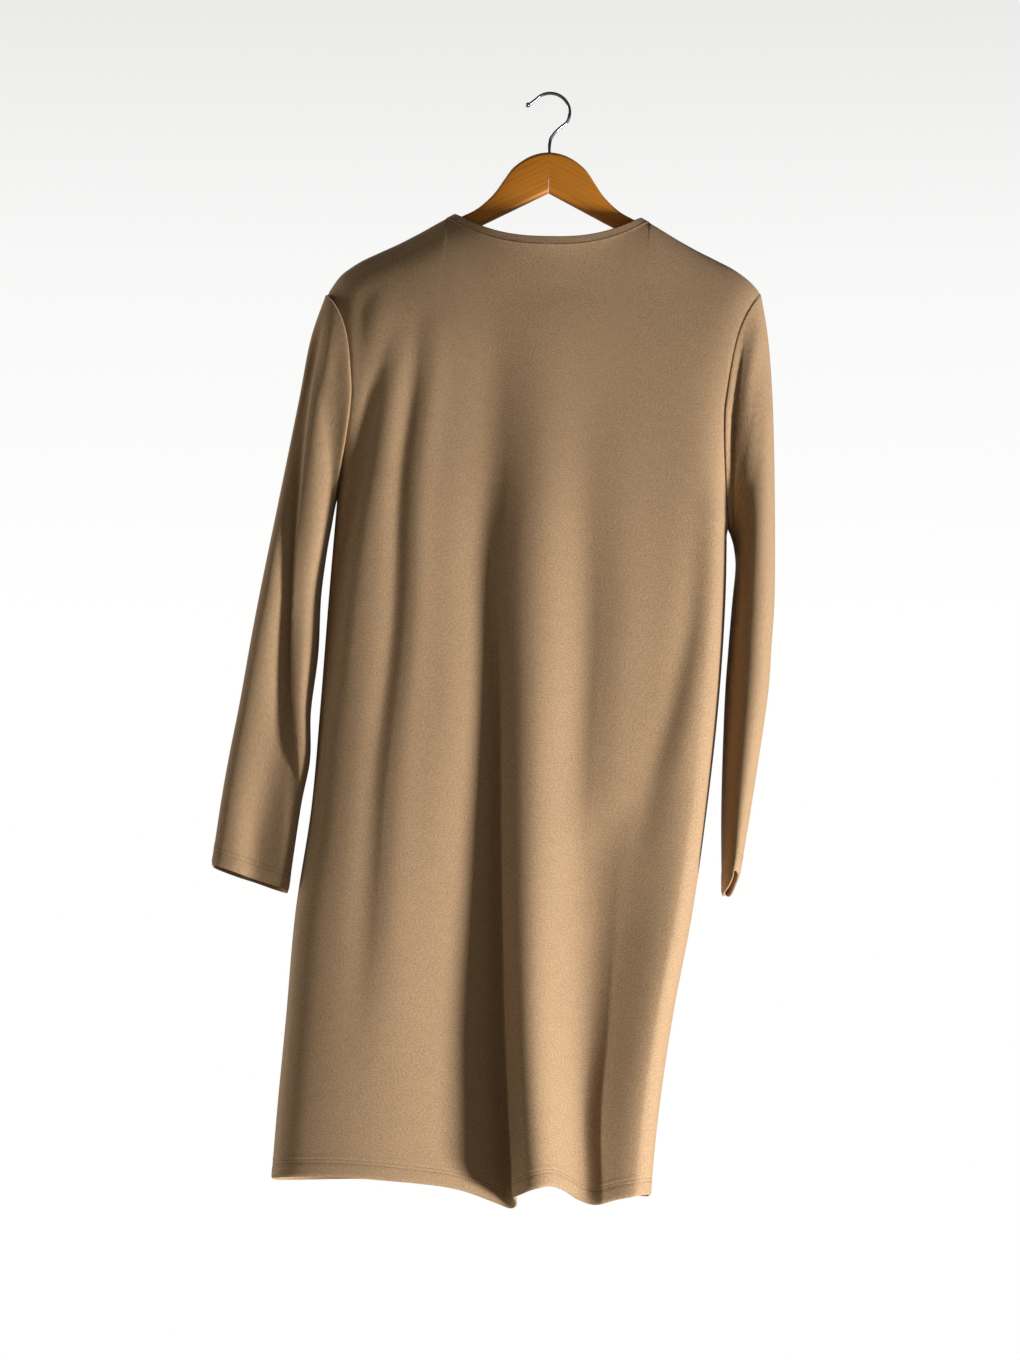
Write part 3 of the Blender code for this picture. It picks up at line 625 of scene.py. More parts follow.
@dataclass
class Shell:
    """Thin wall of cloth: an outer grid of points and the directions out of it."""

    outer: Array
    normals: Array
    closed: bool
    thickness: Array
    map: Array

    @staticmethod
    def directions(points: Array, closed: bool, sign: float) -> Array:
        """Directions out of a grid: the cross product of its slopes across and down."""
        if closed:
            wrapped = np.concatenate([points[:, -1:], points, points[:, :1]], axis=1)
            across = np.gradient(wrapped, axis=1)[:, 1:-1]
        else:
            across = np.gradient(points, axis=1)
        return unit(np.cross(across, -np.gradient(points, axis=0))) * sign

    def build(self, name: str, material: bpy.types.Material) -> bpy.types.Object:
        """Make the wall: the outer grid, the same grid moved in by the thickness, and its rims.

        Args:
            name: The object's name.
            material: Its finish.

        Returns:
            The object, with its map of cloth in metres.
        """
        rows, columns = self.outer.shape[:2]
        inner = self.outer - self.normals * self.thickness[..., None]
        count = rows * columns
        index = np.arange(count).reshape(rows, columns)
        if self.closed:
            index = np.concatenate([index, index[:, :1]], axis=1)
        flat_map = self.map.reshape(rows, -1, 2)

        def quads(a: Array, b: Array, c: Array, d: Array) -> Array:
            return np.stack([a, b, c, d], axis=-1).reshape(-1, 4)

        def spots(rows_at: slice, columns_at: slice) -> Array:
            return flat_map[rows_at, columns_at].reshape(-1, 2)

        upper, lower = slice(0, -1), slice(1, None)
        here, right = index[:-1, :-1], index[:-1, 1:]
        below, across = index[1:, :-1], index[1:, 1:]
        m_here, m_right = spots(upper, upper), spots(upper, lower)
        m_below, m_across = spots(lower, upper), spots(lower, lower)
        top, bottom = index[0], index[-1]
        m_top, m_bottom = flat_map[0], flat_map[-1]
        faces = [
            quads(here, below, across, right),
            quads(here, right, across, below) + count,
            quads(top[:-1], top[1:], top[1:] + count, top[:-1] + count),
            quads(bottom[1:], bottom[:-1], bottom[:-1] + count, bottom[1:] + count),
        ]
        maps = [
            np.stack([m_here, m_below, m_across, m_right], axis=1),
            np.stack([m_here, m_right, m_across, m_below], axis=1),
            np.stack([m_top[:-1], m_top[1:], m_top[1:], m_top[:-1]], axis=1),
            np.stack([m_bottom[1:], m_bottom[:-1], m_bottom[:-1], m_bottom[1:]], axis=1),
        ]
        if not self.closed:
            for column, (a, b) in ((0, (lower, upper)), (-1, (upper, lower))):
                first, second = index[a, column], index[b, column]
                faces.append(quads(first, second, second + count, first + count))
                m_first, m_second = flat_map[a, column], flat_map[b, column]
                maps.append(np.stack([m_first, m_second, m_second, m_first], axis=1))
        points = np.concatenate([self.outer.reshape(-1, 3), inner.reshape(-1, 3)])
        return mesh_object(name, points, np.concatenate(faces), material, np.concatenate(maps))


def mesh_object(
    name: str,
    points: Array,
    faces: Array,
    material: bpy.types.Material,
    uv: Array | None = None,
) -> bpy.types.Object:
    """Make an object from points in millimetres and faces of four corners.

    Args:
        name: The object's name.
        points: Points by three.
        faces: Faces by four point numbers, outward by the right hand.
        material: Its finish.
        uv: Faces by four by two map places in millimetres, or nothing.

    Returns:
        The object, linked into the scene, its place in its mesh.
    """
    mesh = bpy.data.meshes.new(name)
    mesh.vertices.add(len(points))
    mesh.vertices.foreach_set("co", (points * MM).astype(np.float32).ravel())
    mesh.loops.add(faces.size)
    mesh.loops.foreach_set("vertex_index", faces.astype(np.int32).ravel())
    mesh.polygons.add(len(faces))
    mesh.polygons.foreach_set("loop_start", np.arange(0, faces.size, 4, dtype=np.int32))
    if uv is not None:
        layer = mesh.uv_layers.new(name="cloth")
        layer.data.foreach_set("uv", (uv * MM).astype(np.float32).ravel())
    mesh.update(calc_edges=True)
    mesh.validate()
    mesh.shade_smooth()
    mesh.set_sharp_from_angle(angle=SHARP_ANGLE)
    mesh.materials.append(material)
    made = bpy.data.objects.new(name, mesh)
    bpy.context.scene.collection.objects.link(made)
    return made


def turned_out(points: Array, normals: Array, faces: Array) -> Array:
    """Faces with their corners in the order that makes them look along the nearest direction."""
    corners = points[faces]
    facing = np.cross(corners[:, 2] - corners[:, 0], corners[:, 3] - corners[:, 1])
    wrong = (facing * normals[faces].sum(axis=1)).sum(axis=-1) < 0
    faces = faces.copy()
    faces[wrong] = faces[wrong][:, ::-1]
    return faces


@dataclass
class StitchRow:
    """Row of single stitches along a line on the cloth, joined in one mesh."""

    length: float = 1.35
    gap: float = 0.65
    radius: float = 0.32
    sunk: float = 0.10
    around: int = 6
    stations: int = 5

    def build(self, name: str, lines: list[tuple[Array, Array]], material: bpy.types.Material) -> bpy.types.Object:
        """Lay stitches along lines.

        Each stitch is an egg stretched along the line: at angle a from its end its half length
        runs with the cosine of a, and its radius with the sine of a.

        Args:
            name: The object's name.
            lines: Pairs of points along a line and the directions out of the cloth there.
            material: The thread.

        Returns:
            The joined stitches.
        """
        centres, ways, outs = [], [], []
        for points, normals in lines:
            run = lengths_along(points)
            count = max(1, int(run[-1] / (self.length + self.gap)))
            at = (np.arange(count) + 0.5) * run[-1] / count
            ends = [at - self.length / 2, at + self.length / 2]
            first, last = (np.stack([np.interp(e, run, points[:, k]) for k in range(3)], -1) for e in ends)
            centres.append((first + last) / 2)
            ways.append(unit(last - first))
            outs.append(np.stack([np.interp(at, run, normals[:, k]) for k in range(3)], -1))
        centre, way = np.concatenate(centres), np.concatenate(ways)
        out = np.concatenate(outs)
        out = unit(out - way * (out * way).sum(-1, keepdims=True))
        beside = np.cross(way, out)
        polar = np.linspace(0.12, math.pi - 0.12, self.stations)
        turn = np.linspace(0.0, 2 * math.pi, self.around, endpoint=False)
        along = (np.cos(polar) * self.length / 2)[:, None] + 0 * turn
        ring = np.sin(polar)[:, None] ** 0.7 * self.radius
        up, wide = ring * np.cos(turn) - self.sunk, ring * np.sin(turn)
        grid = (
            centre[:, None, None]
            + way[:, None, None] * along[None, ..., None]
            + out[:, None, None] * up[None, ..., None]
            + beside[:, None, None] * wide[None, ..., None]
        )
        count = len(centre)
        index = np.arange(grid.size // 3).reshape(count, self.stations, self.around)
        shifted = np.roll(index, -1, axis=2)
        sides = np.stack([index[:, :-1], index[:, 1:], shifted[:, 1:], shifted[:, :-1]], axis=-1)
        half = self.around // 2
        caps = []
        for station in (0, self.stations - 1):
            ring_index = index[:, station]
            order = ring_index if station else ring_index[:, ::-1]
            caps.append(order[:, [0, 1, 2, half]])
            caps.append(order[:, [0, half, half + 1, half + 2]])
        faces = np.concatenate([sides.reshape(-1, 4)] + caps)
        points = grid.reshape(-1, 3)
        normals = points - np.repeat(centre, self.stations * self.around, axis=0)
        return mesh_object(name, points, turned_out(points, normals, faces), material)


@dataclass
class Piece:
    """What every sewn piece has: its name, the solid it stands for and its cloth's thickness."""

    name: str
    node: str
    thickness: float = 1.2

    def declare(self, made: bpy.types.Object, flat: tuple[float, float], area: float, carried_by: list[str]) -> None:
        """Attach the object to the root, hide the solid that it stands for and log its points.

        Args:
            made: The object.
            flat: Width and length of the cut in metres; not used.
            area: Flat area of the cut in square metres; not used.
            carried_by: Names of what it hangs from; not used.
        """
        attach(made, ROOT)
        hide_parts(self.node)
        LOG.info("%s: %d points", self.name, len(made.data.vertices))


BACK_FOLDS = (
    Fold((
        (200.0, -38.0, 22.0, 32.0, 0.0, 0.0, 0.0),
        (296.0, -39.0, 21.0, 32.0, 0.0, 2.2, 3.0),
        (374.0, -41.0, 23.0, 34.0, 1.0, 4.4, 6.3),
        (451.0, -46.0, 22.0, 34.0, 3.0, 7.2, 9.6),
        (606.0, -47.0, 21.0, 32.0, 10.0, 11.0, 12.0),
        (762.0, -47.0, 29.0, 30.0, 18.0, 16.0, 13.5),
        (917.0, -44.0, 40.0, 28.0, 26.0, 21.5, 16.0),
        (1075.0, -37.0, 46.0, 27.0, 34.0, 24.0, 17.5),
    )),
    Fold((
        (215.0, -119.0, 10.0, 12.0, 0.0, 0.0, 0.0),
        (296.0, -126.0, 9.0, 12.0, 0.0, 2.0, 2.0),
        (374.0, -135.0, 9.0, 12.0, 0.0, 2.7, 2.4),
        (529.0, -142.0, 10.0, 13.0, 0.0, 2.8, 2.4),
        (684.0, -158.0, 12.0, 15.0, 0.0, 2.6, 2.1),
        (800.0, -165.0, 13.0, 16.0, 0.0, 2.0, 1.6),
        (900.0, -171.0, 14.0, 18.0, 0.0, 0.6, 0.5),
        (960.0, -175.0, 14.0, 18.0, 0.0, 0.0, 0.0),
    )),
    Fold((
        (240.0, -150.0, 9.0, 11.0, 0.0, 0.0, 0.0),
        (296.0, -162.0, 9.0, 12.0, 0.0, 2.4, 2.2),
        (374.0, -178.0, 11.0, 15.0, 0.0, 3.4, 3.0),
        (451.0, -195.0, 12.0, 18.0, 0.0, 3.8, 3.2),
        (529.0, -207.0, 12.0, 20.0, 0.0, 3.5, 3.0),
        (640.0, -212.0, 14.0, 20.0, 0.0, 0.0, 0.0),
    )),
    Fold((
        (195.0, -168.0, 9.0, 11.0, 0.0, 0.0, 0.0),
        (228.0, -177.0, 10.0, 12.0, 0.0, 1.3, 1.2),
        (262.0, -180.0, 10.0, 12.0, 0.0, 1.0, 0.9),
        (305.0, -183.0, 9.0, 11.0, 0.0, 0.0, 0.0),
    )),
    Fold((
        (300.0, 45.0, 22.0, 24.0, 0.0, 0.0, 0.0),
        (374.0, 44.0, 20.0, 24.0, 0.0, 1.0, 1.2),
        (529.0, 46.0, 18.0, 24.0, 0.0, 3.0, 3.0),
        (640.0, 40.0, 18.0, 24.0, 0.0, 3.4, 3.2),
        (740.0, 37.0, 18.0, 24.0, 0.0, 1.8, 1.8),
        (820.0, 38.0, 18.0, 24.0, 0.0, 0.0, 0.0),
    )),
    Fold((
        (374.0, 150.0, 12.0, 12.0, 0.0, 0.0, 0.0),
        (451.0, 147.0, 12.0, 12.0, 0.0, 1.2, 1.2),
        (529.0, 141.0, 12.0, 14.0, 0.0, 2.2, 2.0),
        (606.0, 125.0, 12.0, 14.0, 0.0, 2.0, 1.8),
        (684.0, 104.0, 12.0, 14.0, 0.0, 1.0, 1.0),
        (760.0, 90.0, 12.0, 14.0, 0.0, 0.0, 0.0),
    )),
    Fold((
        (690.0, 84.0, 20.0, 30.0, 0.0, 0.0, 0.0),
        (762.0, 66.0, 30.0, 36.0, 0.0, 3.6, 3.0),
        (839.0, 59.0, 32.0, 40.0, 0.0, 6.2, 4.4),
        (917.0, 53.0, 28.0, 40.0, 0.0, 7.8, 5.2),
        (994.0, 46.0, 22.0, 38.0, 0.0, 9.0, 5.5),
        (1075.0, 47.0, 20.0, 34.0, 0.0, 8.2, 4.5),
    )),
    Fold((
        (540.0, 112.0, 45.0, 40.0, 0.0, 0.0, 0.0),
        (640.0, 116.0, 45.0, 40.0, 0.0, 3.0, 3.0),
        (740.0, 112.0, 45.0, 40.0, 0.0, 5.0, 4.5),
        (839.0, 104.0, 45.0, 40.0, 0.0, 6.0, 6.0),
        (930.0, 94.0, 45.0, 38.0, 0.0, 5.5, 5.5),
        (1075.0, 84.0, 40.0, 34.0, 0.0, 4.0, 4.0),
    )),
)
FRONT_FOLDS = (
    Fold((
        (240.0, 22.0, 26.0, 26.0, 0.0, 0.0, 0.0),
        (400.0, 12.0, 26.0, 26.0, 2.0, 4.0, 4.0),
        (600.0, 0.0, 28.0, 28.0, 5.0, 9.0, 8.0),
        (850.0, -20.0, 32.0, 30.0, 8.0, 13.0, 11.0),
        (1075.0, -40.0, 34.0, 30.0, 10.0, 14.0, 12.0),
    )),
    Fold((
        (250.0, -118.0, 14.0, 14.0, 0.0, 0.0, 0.0),
        (420.0, -128.0, 16.0, 16.0, 0.0, 4.0, 4.0),
        (700.0, -147.0, 20.0, 20.0, 2.0, 7.0, 6.0),
        (1075.0, -171.0, 24.0, 24.0, 3.0, 8.0, 7.0),
    )),
    Fold((
        (300.0, 106.0, 14.0, 16.0, 0.0, 0.0, 0.0),
        (450.0, 96.0, 16.0, 18.0, 0.0, 4.0, 3.5),
        (700.0, 76.0, 18.0, 20.0, 0.0, 6.5, 6.0),
        (950.0, 52.0, 18.0, 20.0, 0.0, 4.0, 4.0),
        (1150.0, 34.0, 18.0, 20.0, 0.0, 0.0, 0.0),
    )),
)


@dataclass
class Panel(Piece):
    """Back or front of the body, from the shoulder seams and neck line down to the hem."""

    face: Face = Face.BACK
    folds: tuple[Fold, ...] = BACK_FOLDS
    hem_x: tuple[float, ...] = ()
    hem_drop: tuple[float, ...] = ()
    depth: tuple[float, ...] = ()
    depth_drop: tuple[float, ...] = (200.0, 300.0, 400.0, 600.0, 800.0, 1000.0, 1090.0)
    side_drop: tuple[float, ...] = (396.0, 500.0, 600.0, 700.0, 800.0, 900.0, 1000.0, 1090.0)
    side_left: tuple[float, ...] = (-206.4, -214.7, -222.0, -230.4, -245.2, -253.6, -262.5, -269.0)
    side_right: tuple[float, ...] = (171.0, 168.7, 161.5, 150.0, 135.5, 116.0, 101.0, 92.0)
    still_rows: float = 3.0
    row_crowd: float = 1.15
    square_rate: float = 2.5
    reach: float = 0.28
    seam_margin: float = 18.0
    roundness: float = 5.0
    right_roundness: float = 16.0
    underarm_squareness: float = 0.30
    side_squareness: float = 0.32
    side_relax: float = 110.0
    hem_height: float = 20.0
    hem_swell: float = 0.35
    stitch_heights: tuple[float, float] = (12.5, 16.0)
    seam_sink: float = 0.9
    seam_roll: float = 2.2
    evenings: int = 10
    neck_settle: float = 12.0
    ridge_power: float = 0.5

    def column_places(self, shares: Array) -> Array:
        """Places of the lower columns across, closer at the main fold and at the sides."""
        fine = np.linspace(0.0, 1.0, 401)
        closeness = (
            1.0
            + 1.1 * bump((fine - 0.5) / 0.11)
            + 1.2 * bump(fine / 0.06)
            + 1.2 * bump((1 - fine) / 0.06)
        )
        total = np.concatenate([[0.0], np.cumsum((closeness[1:] + closeness[:-1]) / 2)])
        return np.interp(shares * total[-1], total, fine)

    def drawn_to_fold(self, places: Array, start: Array, stop: Array, drop: Array, share: Array) -> Array:
        """Move columns sideways by a parabola, so that the middle one runs down the main fold."""
        table = np.array(self.folds[0].rows)
        offset = (curve(drop, table[:, 0], table[:, 1]) - start) / (stop - start) - 0.5
        return places + share * offset * 4 * places * (1 - places)

    def body_round(self, places: Array, power: Array) -> Array:
        """Fullness across, 1 in the middle and 0 at the sides: a rounded box to a power."""
        across = 2 * places - 1
        return (1 - np.abs(across) ** np.where(across < 0, self.roundness, self.right_roundness)) ** power

    def top(self, yoke: Yoke, cut: Cut) -> Array:
        """Top edge from tip to tip: x, drop, y and how square the neck sits, for each column."""
        columns = cut.columns()
        first, last = cut.shoulder_columns, cut.shoulder_columns + cut.neck_columns
        line = yoke.line_half_width
        parts = []
        for side, share in (
            (Side.LEFT, 1 - columns[columns < first] / first),
            (Side.RIGHT, (columns[columns > last] - last) / first),
        ):
            x, drop = yoke.shoulder(side, line + (yoke.tip(side)[0] - line) * share)
            parts.append(np.stack([x, drop, 0 * x, 0 * x], axis=-1))
        shares = self.neck_shares(cut)
        neck = yoke.neck(self.face, shares, False)
        squareness = smooth(self.square_rate * (1 - np.abs(shares)))
        middle = np.stack([neck[:, 0], -neck[:, 2], neck[:, 1], squareness], axis=-1)
        return np.concatenate([parts[0], middle, parts[1]])

    def ridge(self, yoke: Yoke, top: Array, cut: Cut, x: Array) -> Array:
        """Drop of the shoulder line at these x, as it would run on over the open neck."""
        columns = cut.columns()
        left = columns <= cut.shoulder_columns
        right = columns >= cut.shoulder_columns + cut.neck_columns
        over_x, over_drop = yoke.tilted(np.array(yoke.ridge_distance), np.array(yoke.ridge_drop))
        xs = np.concatenate([top[left, 0], over_x, top[right, 0]])
        return curve(x, xs, np.concatenate([top[left, 1], over_drop, top[right, 1]]))

    def neck_shares(self, cut: Cut) -> Array:
        """Places across the neck from -1 to 1, minus the cosine of even angles."""
        return -np.cos(np.linspace(0.0, math.pi, cut.neck_columns * cut.column_steps + 1))

    def grid(self, yoke: Yoke, holes: dict[Side, Armhole], cut: Cut) -> Array:
        """Points of the panel's outer side, with rows down it and columns across it.

        Rows beside the armholes fall with one less the cosine of their angle, and even out under
        the neck. Away from the armholes their y grows below the shoulders' ridge as a quarter of
        a squared ellipse. Rows below run evenly from the underarms to the hem. The folds are added last,
        and fade out at the side seams.

        Args:
            yoke: Shoulders and neck.
            holes: Armholes by side.
            cut: How fine the grid is.

        Returns:
            Rows by columns by three, in millimetres.
        """
        face = self.face.value
        top = self.top(yoke, cut)
        top_x, top_drop, top_y, square = top.T
        columns = cut.columns()
        share = columns / columns[-1]
        middle_column = len(columns) // 2
        low_share = self.column_places(share)
        top_share = (top_x - top_x[0]) / (top_x[-1] - top_x[0])
        underarm = np.interp(share, (0.0, 1.0), (holes[Side.LEFT].low[1], holes[Side.RIGHT].low[1]))
        places = cut.armhole_places()[:, None]
        angle = cut.armhole_angles()[:, None]
        left_x = holes[Side.LEFT].points(cut.armhole_angles())[:, :1]
        right_x = holes[Side.RIGHT].points(cut.armhole_angles())[:, :1]
        side_fall = (1 - np.cos(angle)) / 2
        steady = (places / cut.armhole_rows) ** self.row_crowd
        fall = side_fall + (steady - side_fall) * square
        drop = top_drop + (underarm - top_drop) * fall
        blend = smooth((places - self.still_rows) / (cut.armhole_rows - self.still_rows))
        place = top_share + (low_share - top_share) * blend
        place = self.drawn_to_fold(place, left_x, right_x, drop[:, middle_column, None], blend)
        start = left_x[0] + (left_x[-1] - left_x[0]) * side_fall
        stop = right_x[0] + (right_x[-1] - right_x[0]) * side_fall
        near_left = 1 - smooth(place / self.reach)
        near_right = 1 - smooth((1 - place) / self.reach)
        x = start + (stop - start) * place + (left_x - start) * near_left + (right_x - stop) * near_right
        middle = curve(drop, self.depth_drop, self.depth)
        ridge = self.ridge(yoke, top, cut, x)
        fallen = np.clip((drop - ridge) / (underarm - ridge), 0.0, 0.5)
        inner = middle * (4 * fallen * (1 - fallen)) ** self.ridge_power
        inner = inner + (np.abs(top_y) - inner[0]) * np.exp((top_drop - drop) / self.neck_settle)
        edge = holes[Side.LEFT].half_depth * np.sin(angle)
        settle = smooth(angle / (math.pi / 2))
        bend = smooth((angle - math.pi / 2) / (math.pi / 2))
        full = self.body_round(place, 1 - (1 - self.underarm_squareness) * bend)
        full = 1 - (1 - full) * settle
        to_edge = np.clip(np.minimum(columns, columns[-1] - columns), 0.0, 1.0)
        ramp = np.sin(math.pi / 2 * to_edge)
        full = full * (1 - (1 - ramp) * (1 - settle))
        upper = np.stack([x, face * (edge + (inner - edge) * full), -drop], axis=-1)

        lowest = float(np.mean(self.hem_drop))
        hem_place = self.drawn_to_fold(low_share, self.hem_x[0], self.hem_x[-1], lowest, 1.0)
        hem_x = self.hem_x[0] + (self.hem_x[-1] - self.hem_x[0]) * hem_place
        hem_drop = curve(hem_x, self.hem_x, self.hem_drop)
        down = self.body_down(cut)[:, None]
        drop = underarm + (hem_drop - underarm) * down
        start = curve(drop[:, :1], self.side_drop, self.side_left)
        stop = curve(drop[:, -1:], self.side_drop, self.side_right)
        place = self.drawn_to_fold(low_share, start, stop, drop[:, middle_column, None], 1.0)
        middle = curve(drop, self.depth_drop, self.depth)
        relaxed = smooth((drop[:, :1] - holes[Side.LEFT].low[1]) / self.side_relax)
        power = self.underarm_squareness + (self.side_squareness - self.underarm_squareness) * relaxed
        y = face * middle * self.body_round(place, power)
        lower = np.stack([start + (stop - start) * place, y, -drop], axis=-1)

        grid = evened(np.concatenate([upper, lower]), self.evenings)
        reach = np.minimum(grid[..., 0] - grid[:, :1, 0], grid[:, -1:, 0] - grid[..., 0])
        share = smooth(reach / self.seam_margin)
        for fold in self.folds:
            grid = grid + fold.shift(grid, face, share)
        return grid

    def body_down(self, cut: Cut) -> Array:
        """Shares down the body from under the armholes to the hem, closer at the hem."""
        even = np.linspace(0.0, 0.965, cut.body_steps + 1)[1:]
        hem = np.linspace(0.965, 1.0, 17)[1:]
        return np.concatenate([even, hem])

    def shell(self, yoke: Yoke, holes: dict[Side, Armhole], cut: Cut) -> Shell:
        """The panel as a wall, with its creases, its rolled seams and its turned hem."""
        face = self.face.value
        grid = self.grid(yoke, holes, cut)
        normals = Shell.directions(grid, False, -face)
        columns = cut.columns()
        last_row = cut.armhole_steps
        angles = cut.armhole_angles() * (1 if self.face is Face.BACK else -1)
        for column, side, sign in ((0, Side.LEFT, 1), (-1, Side.RIGHT, -1)):
            seam = np.zeros((len(grid), 3)) + (side.value, 0.0, 0.0)
            seam[:last_row + 1] = holes[side].outward(angles)
            near = columns if sign > 0 else columns[-1] - columns
            share = (1 - smooth(near))[None, :, None]
            normals = unit(normals * (1 - share) + seam[:, None] * share)
        first = cut.shoulder_columns * cut.column_steps
        last = first + cut.neck_columns * cut.column_steps
        neck_out = yoke.neck_frame(self.face, self.neck_shares(cut))[1]
        slope = np.gradient(grid[0], axis=0)
        shoulder_out = unit(np.stack([-slope[:, 2], 0 * slope[:, 0], slope[:, 0]], axis=-1))
        edge_out = shoulder_out.copy()
        edge_out[first:last + 1] = neck_out
        edge_out[0], edge_out[-1] = normals[0, 0], normals[0, -1]
        near = (1 - smooth(cut.armhole_places() / 1.0))[:, None, None]
        normals[:last_row + 1] = unit(normals[:last_row + 1] * (1 - near) + edge_out * near)
        across_run = lengths_along(np.swapaxes(grid, 0, 1)).T
        down_run = lengths_along(grid)
        cloth_map = np.stack([across_run - across_run[:, [len(columns) // 2]], -down_run], axis=-1)
        to_side = np.minimum(across_run, across_run[:, -1:] - across_run)
        to_hem = down_run[-1] - down_run
        rise = -self.seam_sink * bump(to_side / self.seam_roll)
        shoulder = np.ones(len(columns))
        shoulder[first:last + 1] = 0.0
        rise = rise - self.seam_sink * bump(down_run / self.seam_roll) * shoulder
        turned = 1 - smooth((to_hem - self.hem_height + 2.0) / 3.0)
        rise = rise + self.hem_swell * turned
        for height in self.stitch_heights:
            rise = rise - 0.45 * bump((to_hem - height) / 1.1)
        rise = rise - 0.9 * bump(to_hem / 1.3)
        thickness = self.thickness + turned * 0.9 - 0.9 * bump(to_hem / 1.3)
        outer = grid + normals * rise[..., None]
        return Shell(outer, normals, False, thickness, cloth_map)

    def line_above_hem(self, shell: Shell, height: float) -> tuple[Array, Array]:
        """Points and outward directions on the cloth at a height above the hem, read across it."""
        run = lengths_along(shell.outer)
        to_hem = run[-1] - run
        row = np.argmax(to_hem < height, axis=0)
        column = np.arange(run.shape[1])
        above, below = to_hem[row - 1, column], to_hem[row, column]
        share = ((above - height) / (above - below))[:, None]
        points = shell.outer[row - 1, column] * (1 - share) + shell.outer[row, column] * share
        return points, shell.normals[row, column]


@dataclass
class Sleeve(Piece):
    """Tapered tube of cloth from an armhole to its cuff."""

    side: Side = Side.LEFT
    stations: tuple[tuple[float, ...], ...] = ()
    folds: tuple[Fold, ...] = ()
    pinch: float = 0.0
    pinch_x: float = -285.0
    pinch_width: float = 13.0
    pinch_start: float = 640.0
    pinch_length: float = 130.0
    twist: float = 0.0
    twist_stations: float = 3.0
    back_share: float = 0.75
    back_stations: float = 1.4
    cuff_lift: float = 0.0
    cuff_fall: float = 0.0
    cuff_middle: float = 0.35
    cuff_reach: float = 0.5
    roundness: float = 0.9
    bow_stations: float = 2.2
    fold_rim: float = 0.5
    rings: int = 150
    cuff_height: float = 21.0
    cuff_swell: float = 0.35
    stitch_heights: tuple[float, float] = (12.5, 17.0)
    seam_sink: float = 0.5
    seam_roll: float = 1.8
    girth: float = 230.0

    def grid(self, hole: Armhole, cut: Cut) -> Array:
        """Points of the sleeve's outer side, as closed rings from the armhole to the cuff.

        A ring's x and drop run with the cosine of its angle between the outer and inner edges,
        and its y with a power of the sine. The armhole's bow fades out over the first stations.

        Args:
            hole: The armhole it is sewn to.
            cut: How fine the seam is.

        Returns:
            Rings by points by three, in millimetres.
        """
        half = cut.armhole_angles()
        turn = np.concatenate([half, 2 * math.pi - half[-2:0:-1]])
        ring = hole.points(turn)
        tip, low = hole.tip, hole.low
        top = (*tip, *low, hole.half_depth, 0.0, 0.0)
        table = np.array((top,) + self.stations)
        steps = np.arange(len(table), dtype=float)
        fine = np.linspace(0.0, 1.0, self.rings + 1)
        along = (fine * (len(table) - 1.0))[:, None]
        outer_x, outer_drop, inner_x, inner_drop, depth, middle, lean = (
            curve(along, steps, table[:, i]) for i in range(table.shape[1])
        )
        cosine, sine = np.cos(turn), np.sin(turn)
        bow = ring[:, 0] - (tip[0] + low[0]) / 2 - (tip[0] - low[0]) / 2 * cosine
        depth = depth * np.where(sine > 0, 1 - (1 - self.back_share) * smooth(along / self.back_stations), 1.0)
        y = middle - depth * np.sign(sine) * np.abs(sine) ** self.roundness
        cosine = np.cos(turn - self.twist * smooth(along / self.twist_stations))
        x = (outer_x + inner_x) / 2 + (outer_x - inner_x) / 2 * cosine
        x = x + bow * (1 - smooth(along / self.bow_stations)) - lean * np.maximum(-y, 0.0)
        drop = (outer_drop + inner_drop) / 2 + (outer_drop - inner_drop) / 2 * cosine
        end = smooth(1 + (along - along[-1]) / self.cuff_reach) * bump((cosine - self.cuff_middle) / 0.6)
        drop = drop - end * np.where(sine > 0, self.cuff_lift, -self.cuff_fall) * np.sqrt(np.abs(sine))
        pinch = self.pinch * smooth((drop - self.pinch_start) / self.pinch_length)
        pinch = pinch * bump((x - self.pinch_x) / self.pinch_width)
        y = middle + (y - middle) * (1 - pinch)
        grid = np.stack([x, y, -drop], axis=-1)
        near = smooth(sine / self.fold_rim) * smooth(along)
        for fold in self.folds:
            grid = grid + fold.shift(grid, Face.BACK.value, near)
        grid[0] = ring
        return grid if self.side is Side.LEFT else grid[:, ::-1]

    def shell(self, hole: Armhole, cut: Cut) -> Shell:
        """The sleeve as a wall, with its creases, its seam and its turned cuff."""
        grid = self.grid(hole, cut)
        normals = Shell.directions(grid, True, 1.0)
        half = cut.armhole_angles()
        turn = np.concatenate([half, 2 * math.pi - half[-2:0:-1]])
        seam = hole.outward(turn)
        if self.side is Side.RIGHT:
            seam = seam[::-1]
        down_run = lengths_along(grid)
        near = (1 - smooth(down_run / 14.0))[..., None]
        normals = unit(normals * (1 - near) + seam * near)
        to_cuff = down_run[-1] - down_run
        rise = -self.seam_sink * bump(down_run / self.seam_roll)
        turned = 1 - smooth((to_cuff - self.cuff_height + 2.0) / 3.0)
        rise = rise + self.cuff_swell * turned
        for height in self.stitch_heights:
            rise = rise - 0.45 * bump((to_cuff - height) / 1.1)
        rise = rise - 0.9 * bump(to_cuff / 1.3)
        thickness = self.thickness + turned * 0.9 - 0.9 * bump(to_cuff / 1.3)
        outer = grid + normals * rise[..., None]
        count = grid.shape[1]
        around = np.linspace(0.0, self.girth, count + 1)
        cloth_map = np.stack([
            np.broadcast_to(around, (len(grid), count + 1)),
            -np.concatenate([down_run, down_run[:, :1]], axis=1),
        ], axis=-1)
        return Shell(outer, normals, True, thickness, cloth_map)

